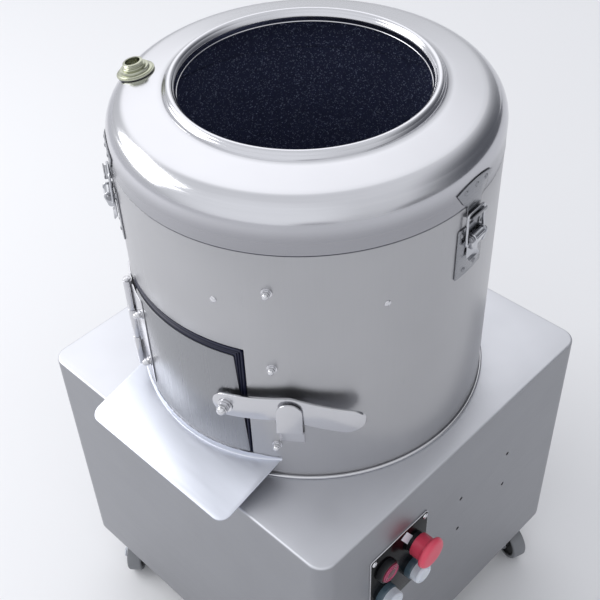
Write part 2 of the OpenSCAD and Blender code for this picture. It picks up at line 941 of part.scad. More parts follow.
module door_holes() {
    at_leaf_bolts(door_leaf_bolt_az)
        rod_x(bolt_r + seat_fit, liner_in - through, drum_r + 3 * leaf_t, small_fn);
    at_pivot()
        rod_x(pivot_r + seat_fit, liner_in - through, drum_r + door_t + through, small_fn);
}

// The door's outline, its free edge leaning out towards its foot
module door_outline() {
    half_w = drum_r * sin(door_half_angle);
    at_wall(door_az, drum_r / 2, 0)
        rotate([90, 0, 90])
            linear_extrude(height = drum_r)
                polygon([[-half_w, door_z_low], [half_w + door_lean, door_z_low], [half_w, door_z_high], [-half_w, door_z_high]]);
}

module discharge_door() {
    color("lightgray")
        difference() {
            intersection() {
                tube_sector(drum_r, drum_r + door_t, door_z_low, door_z_high, door_az, opening_half_angle);
                door_outline();
            }
            door_holes();
        }
}

module door_liner() {
    color("darkslategray")
        difference() {
            tube_sector(liner_in, drum_r - seat_fit, gasket_low + gasket_band, gasket_high - gasket_band, door_az, liner_half_angle);
            door_holes();
        }
}

module door_gasket() {
    color("black")
        difference() {
            tube_sector(gasket_in, drum_r - seat_fit, gasket_low, gasket_high, door_az, gasket_half_angle);
            tube_sector(gasket_in - through, drum_r + through, gasket_low + gasket_band - seat_fit, gasket_high - gasket_band + seat_fit, door_az, liner_half_angle + 0.05);
        }
}

// One knuckle of the hinge, from z_low to z_high above the hinge's lower end
module knuckle(z_low, z_high) {
    at_wall(hinge_az, pin_r_pos, hinge_z + z_low)
        cylinder(r = knuckle_r, h = z_high - z_low, $fn = small_fn);
}

// The tongue that joins a leaf to a knuckle; side is the leaf's side of the pin
module tongue(x_low, side, z_low, z_high) {
    reach = leaf_edge + 1.5;
    at_wall(hinge_az, pin_r_pos, hinge_z + z_low)
        translate([x_low, (side - 1) / 2 * reach, 0])
            cube([leaf_t, reach, z_high - z_low]);
}

// A leaf of the hinge, between two azimuths
module leaf_plate(r_in, az_low, az_high, z_low, z_high) {
    tube_sector(r_in, r_in + leaf_t, hinge_z + z_low, hinge_z + z_high, (az_low + az_high) / 2, (az_high - az_low) / 2);
}

module hinge_body_leaf() {
    edge_az = hinge_az - arc_angle(leaf_edge, drum_r);
    leaf_r = drum_r + seat_fit;
    color("white")
        difference() {
            union() {
                leaf_plate(leaf_r, hinge_az - 9, edge_az, 0, hinge_len);
                for (z = [0, 2 * knuckle_len + side_fit]) {
                    tongue(-knuckle_r - 0.5, -1, z, z + knuckle_len - side_fit);
                    knuckle(z, z + knuckle_len - side_fit);
                }
                at_wall(hinge_az, pin_r_pos, hinge_z - 3)
                    cylinder(r = hinge_pin_r, h = hinge_len + 6, $fn = small_fn);
            }
            at_leaf_bolts(body_leaf_bolt_az)
                rod_x(bolt_r + seat_fit, drum_in, drum_r + 3 * leaf_t, small_fn);
        }
}

module hinge_door_leaf() {
    edge_az = hinge_az + arc_angle(leaf_edge, drum_r);
    leaf_r = drum_r + door_t + seat_fit;
    color("white")
        difference() {
            union() {
                leaf_plate(leaf_r, edge_az, hinge_az + 11.3, 0, hinge_len);
                tongue(-knuckle_r + 0.8, 1, knuckle_len + side_fit, 2 * knuckle_len - side_fit);
                knuckle(knuckle_len + side_fit, 2 * knuckle_len - side_fit);
            }
            door_holes();
            at_wall(hinge_az, pin_r_pos, hinge_z - 3)
                cylinder(r = hinge_pin_r + running_fit, h = hinge_len + 6, $fn = small_fn);
        }
}

module door_bolts() {
    lever_out = lever_in + lever_t;
    color("white") {
        at_leaf_bolts(door_leaf_bolt_az)
            through_bolt(liner_in, drum_r + door_t + leaf_t + seat_fit);
        at_pivot() {
            rod_x(pivot_r, liner_in - 2, lever_out + 3, small_fn);
            rod_x(pivot_r * 1.8, liner_in - 5, liner_in - side_fit - seat_fit);
            rod_x(pivot_r * 1.7, drum_r + door_t + seat_fit, lever_in - side_fit);
            translate([lever_out + side_fit, 0, 0])
                acorn_nut(pivot_r * 1.8);
        }
    }
}

// A straight band from one point to the next, a hair narrower than the round ends it joins
module strap(from, to, end_w) {
    reach = to - from;
    w = end_w - 0.1;
    translate(from)
        rotate(atan2(reach[1], reach[0]))
            translate([0, -w / 2])
                square([norm(reach), w]);
}

module door_lever() {
    knee = [lever_knee, lever_rise];
    end = [lever_reach, lever_end_rise];
    color("white")
        at_pivot()
            difference() {
                intersection() {
                    translate([lever_in - lever_curve_r, 0, -100])
                        difference() {
                            cylinder(r = lever_curve_r + lever_t, h = 200, $fn = main_fn);
                            translate([0, 0, -through])
                                cylinder(r = lever_curve_r, h = 200 + 2 * through, $fn = main_fn);
                        }
                    translate([lever_in / 2, 0, 0])
                        rotate([90, 0, 90])
                            linear_extrude(height = lever_in) {
                                strap([0, 0], knee, lever_w);
                                strap(knee, end, lever_w);
                                for (p = [[0, 0], knee, end])
                                    translate(p)
                                        circle(r = lever_w / 2, $fn = mid_fn);
                            }
                }
                rod_x(pivot_r + running_fit, lever_in - through, lever_in + lever_t + through, small_fn);
            }
}

keeper_low = strip_bolt_low + bolt_r * 1.9 * 1.25 + 0.875;
keeper_t = 2;
keeper_bend = 15;

module lever_keeper() {
    out = keeper_out + keeper_t;
    shelf = keeper_low + keeper_bend;
    color("white")
        at_wall(keeper_az, drum_r + seat_fit, deck_z)
            intersection() {
                rotate([90, 0, 0])
                    linear_extrude(height = keeper_w, center = true)
                        polygon([
                            [0, keeper_low], [keeper_t, keeper_low], [keeper_t, shelf], [out, shelf + keeper_out],
                            [out, keeper_top], [keeper_out, keeper_top], [keeper_out, shelf + keeper_out + 1],
                            [0, shelf + 1]
                        ]);
                rotate([90, 0, 90])
                    linear_extrude(height = out + through) {
                        translate([-keeper_w / 2, 0])
                            square([keeper_w, keeper_top - keeper_w / 2]);
                        translate([0, keeper_top - keeper_w / 2])
                            circle(r = keeper_w / 2, $fn = mid_fn);
                    }
            }
}

// ---- Discharge tray ----

tray_front = rear_y + tray_overhang;
tray_slope = atan2(tray_in_z - tray_out_z, tray_front - drum_r);

// A slab as steep as the tray, its underside z_low above the tray's
module tray_slab(z_low, z_high) {
    translate([0, -tray_front, deck_z + tray_out_z])
        rotate([tray_slope, 0, 0])
            translate([-tray_w, -10, z_low])
                cube([2 * tray_w, tray_front, z_high - z_low]);
}

module discharge_tray() {
    arc_in = drum_r + seat_fit;
    plate_back = 120;
    color("lavender")
        intersection() {
            union() {
                tray_slab(0, tray_t);
                intersection() {
                    tray_slab(0, tray_t + tray_flange);
                    tube(arc_in, arc_in + tray_t, deck_z, deck_z + drum_h);
                }
            }
            difference() {
                translate([0, -tray_front + tray_front / 2 - plate_back / 4, deck_z - 20])
                    translate([0, plate_back / 4, 0])
                        rounded_plate(tray_w, tray_front, tray_corner_r, 120);
                translate([0, 0, deck_z - 21])
                    cylinder(r = arc_in, h = 122, $fn = main_fn);
            }
        }
}

// ---- Lid ----

joint_z = drum_top + seal_t;
shoulder_z = joint_z + lid_wall_h;
shoulder_mid_r = drum_r - shoulder_r;
ring_mid_r = mouth_r + ring_r;
ring_z = shoulder_z + ring_rise;
cone_end_r = ring_mid_r + ring_r;
cone_run = [cone_end_r - shoulder_mid_r, ring_rise];
cone_turn = atan2(cone_run[1], cone_run[0]) - acos(shoulder_r / norm(cone_run));
cone_start_r = shoulder_mid_r + shoulder_r * cos(cone_turn);
cone_start_z = shoulder_z + shoulder_r * sin(cone_turn);
cone_tilt = 90 - cone_turn;
inlet_z = cone_start_z + (cone_start_r - inlet_r_pos) * tan(cone_tilt);
inlet_hole_r = inlet_spigot_r + 0.6;

// Half of the lid's section: wall, shoulder, cone, rolled ring and lip
module lid_section() {
    sheet = [cos(cone_turn), sin(cone_turn)] * lid_sheet;
    start = [cone_start_r, cone_start_z];
    end = [cone_end_r, ring_z];
    translate([drum_r - lid_sheet, joint_z])
        square([lid_sheet, lid_wall_h]);
    intersection() {
        translate([shoulder_mid_r, shoulder_z])
            difference() {
                circle(r = shoulder_r, $fn = main_fn);
                circle(r = shoulder_r - lid_sheet, $fn = main_fn);
            }
        translate([shoulder_mid_r, shoulder_z])
            polygon([[0, 0], [2 * shoulder_r, 0], [2 * shoulder_r, 2 * shoulder_r], [cos(cone_turn), sin(cone_turn)] * 2 * shoulder_r]);
    }
    polygon([start, end, end - sheet, start - sheet]);
    intersection() {
        translate([ring_mid_r, ring_z])
            difference() {
                circle(r = ring_r, $fn = mid_fn);
                circle(r = ring_r - lid_sheet, $fn = mid_fn);
            }
        translate([mouth_r - through, ring_z - lid_sheet])
            square([2 * ring_r + 2 * through, 2 * ring_r]);
    }
    translate([mouth_r, ring_z - lip_h])
        square([lid_sheet, lip_h]);
}

module at_inlet() {
    at_wall(inlet_az, inlet_r_pos, inlet_z)
        rotate([0, cone_tilt, 0])
            children();
}

module lid_dome() {
    spigot_r = drum_in - side_fit;
    color("lightgray")
        difference() {
            union() {
                rotate_extrude($fn = main_fn)
                    lid_section();
                tube(spigot_r - lid_sheet, spigot_r, drum_top - spigot_depth, joint_z + 6);
                tube(spigot_r - lid_sheet, drum_r - lid_sheet / 2, joint_z + 1, joint_z + 6);
            }
            at_inlet()
                translate([0, 0, -10])
                    cylinder(r = inlet_hole_r, h = 20, $fn = mid_fn);
        }
}

module lid_seal() {
    color("black")
        tube(drum_in, drum_r, drum_top, joint_z);
}

washer_t = 1.5;
inlet_flange_t = 3;
inlet_ring_h = 3;
inlet_nut_t = 5;
inlet_nut_gap = 3;

module inlet_washer() {
    color("black")
        at_inlet()
            translate([0, 0, seat_fit])
                difference() {
                    cylinder(r = inlet_flange_r - 1, h = washer_t, $fn = mid_fn);
                    translate([0, 0, -through])
                        cylinder(r = inlet_spigot_r + seat_fit, h = washer_t + 2 * through, $fn = mid_fn);
                }
}

module water_inlet() {
    flange_z = seat_fit + washer_t;
    nut_low = -lid_sheet - inlet_nut_gap - inlet_nut_t;
    thread_low = flange_z + inlet_flange_t + inlet_ring_h;
    color("gold")
        at_inlet()
            difference() {
                union() {
                    translate([0, 0, flange_z])
                        cylinder(r = inlet_flange_r, h = inlet_flange_t, $fn = mid_fn);
                    translate([0, 0, flange_z + inlet_flange_t])
                        cylinder(r = inlet_spigot_r + 5, h = inlet_ring_h, $fn = mid_fn);
                    translate([0, 0, nut_low - 1])
                        cylinder(r = inlet_spigot_r, h = thread_low - nut_low + 1 + inlet_spigot_h, $fn = mid_fn);
                    translate([0, 0, nut_low])
                        cylinder(r = inlet_spigot_r * 1.4, h = inlet_nut_t, $fn = 6);
                }
                translate([0, 0, nut_low - 2])
                    cylinder(r = inlet_spigot_r - 2.5, h = 60, $fn = mid_fn);
            }
}

// ---- Draw latches ----

latch_out = 7.5;
latch_pin_r = 2;
loop_pin_r = 1.75;
latch_sheet = 1.5;
latch_pivot_z = joint_z - latch_drop;
loop_out = 4.6;
loop_pin_z = latch_pivot_z - 6;
loop_half = latch_loop_w / 2;
lever_half = loop_half - 3.5;
arch_rise = 6.5;
hook_drop = 14.5;
hook_floor = joint_z - hook_drop + latch_sheet;
hook_half = loop_half - 1.5;

module at_latch(i) {
    at_wall(latch_az + i * latch_step, drum_r, 0)
        children();
}

// A plate bent to the drum's wall, off it by a gap; its outline is drawn as (along the wall, up)
module wrapped_plate(gap, z_low, z_high) {
    intersection() {
        translate([-drum_r, 0, 0])
            tube(drum_r + gap, drum_r + gap + latch_sheet, z_low, z_high);
        rotate([90, 0, 90])
            linear_extrude(height = 10, center = true)
                children();
    }
}

// A shape drawn as (outward, up), given a thickness along the wall
module side_plate(y_low, y_high) {
    translate([0, y_high, 0])
        rotate([90, 0, 0])
            linear_extrude(height = y_high - y_low)
                children();
}

plate_drop = 49;
plate_rise = 12;
plate_low = latch_pivot_z - plate_drop;
plate_high = latch_pivot_z + plate_rise;

module latch_plates() {
    ear_low = lever_half + 0.5;
    ear_high = ear_low + latch_sheet;
    color("white")
        for (i = [0 : 2])
            at_latch(i) {
                wrapped_plate(seat_fit, plate_low, plate_high)
                    translate([-latch_plate_w / 2, plate_low - through])
                        square([latch_plate_w, plate_high - plate_low + 2 * through]);
                for (side = [-1, 1])
                    side_plate(min(side * ear_low, side * ear_high), max(side * ear_low, side * ear_high)) {
                        translate([1, latch_pivot_z - 3.2])
                            square([latch_out - 1, 6.4]);
                        translate([latch_out, latch_pivot_z])
                            circle(r = 4, $fn = small_fn);
                    }
                translate([latch_out, 0, latch_pivot_z])
                    rod_y(latch_pin_r, 2 * ear_high + 1.6);
            }
}

// One cheek of a latch lever: round about its pivot, with a rounded foot below
module latch_cheek() {
    foot = [latch_out - 1.3, latch_pivot_z - 9];
    difference() {
        union() {
            translate([latch_out, latch_pivot_z])
                circle(r = 5.4, $fn = small_fn);
            translate(foot)
                circle(r = 4, $fn = small_fn);
            polygon([
                foot - [3.9, 0], foot + [3.9, 0],
                [latch_out + 5.3, latch_pivot_z], [latch_out - 5.3, latch_pivot_z]
            ]);
        }
        translate([latch_out, latch_pivot_z])
            circle(r = latch_pin_r + running_fit, $fn = small_fn);
        translate([loop_out, loop_pin_z])
            circle(r = loop_pin_r + running_fit, $fn = small_fn);
    }
}

module latch_lever(i) {
    cheek_in = lever_half - latch_sheet;
    grip_x = latch_out - 5.2;
    grip_top = latch_pivot_z - 8.5;
    grip_low = grip_top - latch_grip;
    color("silver")
        at_latch(i) {
            side_plate(-lever_half, -cheek_in)
                latch_cheek();
            side_plate(cheek_in, lever_half)
                latch_cheek();
            side_plate(-lever_half, lever_half) {
                polygon([
                    [latch_out + 5, latch_pivot_z + 1], [latch_out + 2.4, latch_pivot_z - 8],
                    [latch_out + 1.1, latch_pivot_z - 8], [latch_out + 3.6, latch_pivot_z + 1]
                ]);
                polygon([
                    [grip_x, grip_top], [grip_x + 1.5, grip_top], [grip_x + 1.5, grip_low + 4],
                    [grip_x + 4.5, grip_low], [grip_x + 3.5, grip_low - 1], [grip_x, grip_low + 3.5]
                ]);
            }
        }
}

module latch_loop(i) {
    leg_in = loop_half;
    leg_out = loop_half + 2;
    bar_x = 2.3;
    bar_w = 2.7;
    bar_low = hook_floor + 1.3;
    bar_top = bar_low + 3;
    color("white")
        at_latch(i) {
            for (side = [-1, 1])
                side_plate(min(side * leg_in, side * leg_out), max(side * leg_in, side * leg_out)) {
                    translate([loop_out, loop_pin_z])
                        circle(r = 2.6, $fn = small_fn);
                    polygon([
                        [loop_out - 2.5, loop_pin_z], [loop_out + 1, loop_pin_z], [bar_x + bar_w, bar_low],
                        [bar_x + bar_w, bar_top], [bar_x, bar_top]
                    ]);
                }
            translate([loop_out, 0, loop_pin_z])
                rod_y(loop_pin_r, 2 * leg_out);
            translate([bar_x, -leg_out, bar_low])
                cube([bar_w, 2 * leg_out, bar_top - bar_low]);
        }
}

module latch_strikes() {
    corner_z = joint_z + strike_h - arch_rise;
    strike_low = joint_z - hook_drop;
    neck_half = strike_w / 2 - 10.5;
    neck_z = joint_z + 3.5;
    strike_arch_r = (strike_w * strike_w / 4 + arch_rise * arch_rise) / (2 * arch_rise);
    lip_out = 7.3;
    lip_t = 1.3;
    color("white")
        for (i = [0 : 2])
            at_latch(i) {
                wrapped_plate(side_fit, strike_low, joint_z + strike_h + through) {
                    polygon([
                        [-strike_w / 2, corner_z], [-neck_half, neck_z], [-hook_half, joint_z - 2], [-hook_half, strike_low],
                        [hook_half, strike_low], [hook_half, joint_z - 2], [neck_half, neck_z], [strike_w / 2, corner_z]
                    ]);
                    intersection() {
                        translate([0, corner_z + arch_rise - strike_arch_r])
                            circle(r = strike_arch_r, $fn = main_fn);
                        translate([-strike_w / 2, corner_z])
                            square([strike_w, arch_rise + 1]);
                    }
                }
                translate([1, -hook_half, strike_low])
                    cube([lip_out + lip_t - 1, 2 * hook_half, latch_sheet]);
                translate([lip_out, -hook_half, strike_low])
                    cube([lip_t, 2 * hook_half, latch_sheet + 2.5]);
            }
}

// ---- Controls ----

stem_r = 8;
cap_rest = 6;
cap_len = 13;
bezel_floor = 2.5;
lens_len = 6;
estop_collar = 9.5;
estop_skirt_r = estop_r - 5;
estop_bore_r = estop_skirt_r - 1.3;
estop_foot = estop_travel + 0.6;
estop_head_x = 21;
estop_head_len = 8;

module control_panel() {
    color("black")
        difference() {
            translate([side_x, panel_y, panel_z])
                rotate([90, 0, 90])
                    rounded_plate(panel_w, panel_h, 4, panel_t);
            at_controls()
                rod_x(barrel_r + seat_fit, -panel_t - through, through);
            at_panel_screws()
                rod_x(screw_r + seat_fit, -panel_t - through, through);
        }
}

module panel_screws() {
    color("white")
        at_panel_screws() {
            rod_x(screw_r, -8, 1, small_fn);
            rod_x(screw_r * 2, seat_fit, 2, small_fn);
        }
}

module bezel(collar_r, collar_len, pocket_r) {
    wall_in = -panel_t - base_sheet - seat_fit;
    difference() {
        union() {
            rod_x(barrel_r, -barrel_len, 1);
            rod_x(collar_r, seat_fit, collar_len);
        }
        rod_x(stem_r + running_fit, -barrel_len - through, collar_len + through);
        rod_x(pocket_r, bezel_floor, collar_len + through);
    }
    difference() {
        rod_x(barrel_r + 4, wall_in - 5, wall_in, 6);
        rod_x(barrel_r + seat_fit, wall_in - 6, wall_in + 1);
    }
}

module control_bezels() {
    color("dimgray") {
        at_controls(rows = [-1])
            bezel(bezel_r, bezel_h, button_r + side_fit);
        at_controls(rows = [1], columns = [-1])
            bezel(bezel_r, bezel_h, button_r + side_fit);
        at_controls(rows = [1], columns = [1])
            bezel(estop_bore_r - side_fit, estop_collar, stem_r + running_fit);
    }
}

module button() {
    rod_x(stem_r, -10, cap_rest + 1);
    rod_x(button_r, cap_rest, cap_rest + cap_len - 2);
    rod_x(button_r - 2, cap_rest + cap_len - 3, cap_rest + cap_len);
}

module start_button() {
    color("white")
        at_controls(rows = [-1], columns = [1])
            button();
}

module stop_button() {
    color("white")
        at_controls(rows = [-1], columns = [-1])
            button();
}

module lamp_lens() {
    color("crimson")
        at_controls(rows = [1], columns = [-1]) {
            rod_x(stem_r, -10, bezel_floor + 1);
            rod_x(button_r, bezel_floor + seat_fit, bezel_floor + lens_len);
            rod_x(button_r - 3, bezel_floor + lens_len - 1, bezel_floor + lens_len + 2);
        }
}

module estop_head() {
    bore_end = estop_collar + estop_travel + side_fit;
    color("crimson")
        at_controls(rows = [1], columns = [1]) {
            rod_x(stem_r, -10, bore_end + 1);
            difference() {
                union() {
                    rod_x(estop_skirt_r, estop_foot, estop_head_x + 1);
                    rod_x(estop_r, estop_head_x, estop_head_x + estop_head_len);
                }
                rod_x(estop_bore_r, estop_foot - through, bore_end);
            }
        }
}

contact_d = 28;
contact_w = 26;
contact_h = 40;

module contact_blocks() {
    color("dimgray")
        at_controls()
            translate([-barrel_len - seat_fit - contact_d, -contact_w / 2, -contact_h / 2])
                cube([contact_d, contact_w, contact_h]);
}

// ---- One piece or all of them ----

base_housing();
base_frame();
rear_cover();
castor_plates();
drum_shell();
drum_liner();
liner_strip();
wall_bolts();
chamber_floor();
bearing_housing();
shaft_bearings();
shaft_seal();
drain_pipe();
discharge_tray();
lever_keeper();
hinge_body_leaf();
latch_plates();
control_panel();
panel_screws();
control_bezels();
lamp_lens();
contact_blocks();
cable_gland();
motor_body();
motor_plate();
v_belt();
drive_shaft();
abrasive_disc();
disc_nut();
driven_pulley();
motor_shaft();
motor_pulley();
discharge_door();
door_gasket();
door_liner();
hinge_door_leaf();
door_bolts();
door_lever();
lid_dome();
lid_seal();
latch_strikes();
water_inlet();
inlet_washer();
latch_lever(0);  // latch_lever_1
latch_lever(1);  // latch_lever_2
latch_lever(2);  // latch_lever_3
latch_loop(0);  // latch_loop_1
latch_loop(1);  // latch_loop_2
latch_loop(2);  // latch_loop_3
castor_fork(0);  // castor_fork_1
castor_fork(1);  // castor_fork_2
castor_fork(2);  // castor_fork_3
castor_fork(3);  // castor_fork_4
castor_wheel(0);  // castor_wheel_1
castor_wheel(1);  // castor_wheel_2
castor_wheel(2);  // castor_wheel_3
castor_wheel(3);  // castor_wheel_4
start_button();
stop_button();
estop_head();
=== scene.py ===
import json
import math
import bmesh
import bpy
from mathutils import Matrix, Vector, noise

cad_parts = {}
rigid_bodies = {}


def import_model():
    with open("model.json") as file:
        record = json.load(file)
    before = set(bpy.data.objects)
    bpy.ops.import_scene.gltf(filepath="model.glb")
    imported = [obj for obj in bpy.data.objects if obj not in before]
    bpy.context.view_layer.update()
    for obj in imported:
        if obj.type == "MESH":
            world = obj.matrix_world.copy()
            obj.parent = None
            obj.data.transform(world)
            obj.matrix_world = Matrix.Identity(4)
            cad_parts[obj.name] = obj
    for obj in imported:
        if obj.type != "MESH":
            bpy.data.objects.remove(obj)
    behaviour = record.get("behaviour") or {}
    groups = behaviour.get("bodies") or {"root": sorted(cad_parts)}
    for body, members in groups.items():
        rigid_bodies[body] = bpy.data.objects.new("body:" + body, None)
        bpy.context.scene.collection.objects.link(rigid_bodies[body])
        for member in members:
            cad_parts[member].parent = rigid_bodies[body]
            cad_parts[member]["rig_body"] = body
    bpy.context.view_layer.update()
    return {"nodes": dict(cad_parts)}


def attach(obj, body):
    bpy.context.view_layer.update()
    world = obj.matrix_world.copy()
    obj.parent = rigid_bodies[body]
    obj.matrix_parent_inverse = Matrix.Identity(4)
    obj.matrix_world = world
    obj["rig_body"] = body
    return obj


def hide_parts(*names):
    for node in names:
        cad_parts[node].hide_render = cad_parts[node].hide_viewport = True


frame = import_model()
nodes = frame["nodes"]
scene = bpy.context.scene
scene.view_settings.view_transform = "Standard"

# camera, floor and light
camera = {"place": (0.6266, -0.6347, 1.3181), "azimuth": 47.926, "elevation": 43.042, "roll": -4.141,
          "lens": 61.95, "shift": (0.0535, 0.0113)}


def addCamera():
    az, el, roll = (math.radians(camera[k]) for k in ("azimuth", "elevation", "roll"))
    back = Vector((math.sin(az) * math.cos(el), -math.cos(az) * math.cos(el), math.sin(el)))
    right = Vector((math.cos(az), math.sin(az), 0))
    up = back.cross(right)
    right, up = (math.cos(roll) * right + math.sin(roll) * up,
                 math.cos(roll) * up - math.sin(roll) * right)
    data = bpy.data.cameras.new("shelfCamera")
    data.lens = camera["lens"]
    data.shift_x, data.shift_y = camera["shift"]
    data.clip_end = 100
    cam = bpy.data.objects.new("shelfCamera", data)
    scene.collection.objects.link(cam)
    turn = Matrix((right, up, back)).transposed().to_4x4()
    cam.matrix_world = moved(camera["place"]) @ turn
    scene.camera = cam


# small helpers
def srgb(code):  # sRGB hex to a linear colour
    parts = [int(code[i:i + 2], 16) / 255 for i in (0, 2, 4)]
    return (*[c / 12.92 if c <= 0.04045 else ((c + 0.055) / 1.055) ** 2.4 for c in parts], 1)


def add(tree, kind, settings=None, links=None):  # adds a node with its settings and links
    node = tree.nodes.new("ShaderNode" + kind)
    for key, value in (settings or {}).items():
        if isinstance(key, int) or key in node.inputs:
            node.inputs[key].default_value = value
        else:
            setattr(node, key, value)
    for key, socket in (links or {}).items():
        tree.links.new(socket, node.inputs[key])
    return node


def newMaterial(name):
    material = bpy.data.materials.new(name)
    material.use_nodes = True
    material.node_tree.nodes.clear()
    return material, material.node_tree


def finishMaterial(tree, settings, links):
    shader = add(tree, "BsdfPrincipled", settings, links)
    add(tree, "OutputMaterial", links={"Surface": shader.outputs[0]})


def turned(degrees, axis):
    return Matrix.Rotation(math.radians(degrees), 4, axis)


def moved(place):
    return Matrix.Translation(place)


def onWall(azimuth, r, z):  # local X points out of the wall, Y along it, Z up
    return turned(azimuth, "Z") @ moved((r, 0, z))


def keep(bm, name, body, material, replaced=(), sharp=32, flip=True):
    if flip:
        bmesh.ops.recalc_face_normals(bm, faces=bm.faces[:])
    mesh = bpy.data.meshes.new(name)
    bm.to_mesh(mesh)
    bm.free()
    mesh.materials.append(material)
    mesh.polygons.foreach_set("use_smooth", [True] * len(mesh.polygons))
    mesh.set_sharp_from_angle(angle=math.radians(sharp))
    piece = bpy.data.objects.new(name, mesh)
    scene.collection.objects.link(piece)
    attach(piece, body)
    if replaced:
        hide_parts(*replaced)
    return piece


def bevelEdges(bm, width, segments=2, sharp=30, pick=None):
    limit = math.radians(sharp)
    edges = [e for e in bm.edges if len(e.link_faces) == 2 and e.calc_face_angle() > limit]
    if pick:
        edges = [e for e in edges if pick(e)]
    bmesh.ops.bevel(bm, geom=edges, offset=width, offset_type="OFFSET", segments=segments, profile=0.5,
                    affect="EDGES", material=-1, clamp_overlap=True, loop_slide=True)


def chain(bm, points, closed=False):  # a line of vertices to spin or extrude
    verts = [bm.verts.new(p) for p in points]
    pairs = list(zip(verts, verts[1:])) + ([(verts[-1], verts[0])] if closed else [])
    return verts + [bm.edges.new(p) for p in pairs]


def spinChain(bm, geom, steps, sweep=360, axis=(0, 0, 1), centre=(0, 0, 0)):
    full = abs(sweep) == 360
    out = bmesh.ops.spin(bm, geom=geom, cent=centre, axis=axis, angle=math.radians(sweep), steps=steps,
                         use_merge=full, use_duplicate=False)
    if full:
        bmesh.ops.remove_doubles(bm, verts=bm.verts[:], dist=1e-6)
    return out["geom_last"]


def lathe(profile, steps=128, place=None, closed=True):  # profile of (r, z), spun round Z
    bm = bmesh.new()
    spinChain(bm, chain(bm, [(r, 0, z) for r, z in profile], closed), steps)
    if place:
        bm.transform(place)
    return bm


def merge(*parts):  # joins bmeshes into the first
    whole = parts[0]
    for part in parts[1:]:
        mesh = bpy.data.meshes.new("part")
        part.to_mesh(mesh)
        part.free()
        whole.from_mesh(mesh)
        bpy.data.meshes.remove(mesh)
    return whole


def rod(radius, start, end, sides=32, place=None, endRadius=None, bevel=0.0):  # a bar along local X
    bm = bmesh.new()
    turn = moved(((start + end) / 2, 0, 0)) @ turned(90, "Y")
    bmesh.ops.create_cone(bm, cap_ends=True, segments=sides, radius1=radius,
                          radius2=radius if endRadius is None else endRadius, depth=end - start, matrix=turn)
    if bevel:
        bevelEdges(bm, bevel, 2, 50)
    if place:
        bm.transform(place)
    return bm


def thicken(bm):  # gives an open sheet its second side and returns that side's vertices
    back = bmesh.ops.extrude_face_region(bm, geom=bm.faces[:])["geom"]
    return [g for g in back if isinstance(g, bmesh.types.BMVert)]


def cutAcross(bm, axis, at):  # cuts the whole sheet where that coordinate is at
    point, normal = Vector((0, 0, 0)), Vector((0, 0, 0))
    point[axis], normal[axis] = at, 1
    bmesh.ops.bisect_plane(bm, geom=bm.verts[:] + bm.edges[:] + bm.faces[:], dist=1e-7, plane_co=point,
                           plane_no=normal)


def block(size, middle=(0, 0, 0), bevel=0.0, place=None, segments=2):
    bm = bmesh.new()
    bmesh.ops.create_cube(bm, size=1, matrix=moved(middle) @ Matrix.Diagonal((*size, 1)))
    if bevel:
        bevelEdges(bm, bevel, segments)
    if place:
        bm.transform(place)
    return bm


def sheet(outline, thickness, shape, cut=None, rounds=0, roundSteps=5, bevel=0.0003):
    # a flat outline in (u, v), cut into strips, given its thickness w and shaped by shape(u, v, w)
    bm = bmesh.new()
    face = bm.faces.new([bm.verts.new((u, v, 0)) for u, v in outline])
    if rounds:
        bmesh.ops.bevel(bm, geom=face.verts[:], offset=rounds, offset_type="OFFSET", segments=roundSteps,
                        profile=0.5, affect="VERTICES", material=-1)
    for axis, step in enumerate(cut or ()):
        if not step:
            continue
        values = [v.co[axis] for v in bm.verts]
        low, high = min(values), max(values)
        count = max(1, math.ceil((high - low) / step))
        for i in range(1, count):
            cutAcross(bm, axis, low + (high - low) * i / count)
    bmesh.ops.translate(bm, verts=thicken(bm), vec=(0, 0, thickness))
    for v in bm.verts:
        v.co = shape(*v.co)
    bmesh.ops.recalc_face_normals(bm, faces=bm.faces[:])
    if bevel:
        bevelEdges(bm, bevel, 2, 50)
    return bm


def arc(cx, cy, r, first, last, steps):
    angles = [math.radians(first + (last - first) * i / steps) for i in range(steps + 1)]
    return [(cx + r * math.cos(a), cy + r * math.sin(a)) for a in angles]


def carve(bm, *cutters):  # takes the cutters' shapes out of bm
    parts = []
    for part in (bm, *cutters):
        mesh = bpy.data.meshes.new("carving")
        bmesh.ops.recalc_face_normals(part, faces=part.faces[:])
        part.to_mesh(mesh)
        part.free()
        parts.append(bpy.data.objects.new("carving", mesh))
        scene.collection.objects.link(parts[-1])
    for cutter in parts[1:]:
        tool = parts[0].modifiers.new("cut", "BOOLEAN")
        tool.operation, tool.solver, tool.object = "DIFFERENCE", "EXACT", cutter
    done = bmesh.new()
    done.from_object(parts[0], bpy.context.evaluated_depsgraph_get())
    for part in parts:
        mesh = part.data
        bpy.data.objects.remove(part)
        bpy.data.meshes.remove(mesh)
    return done


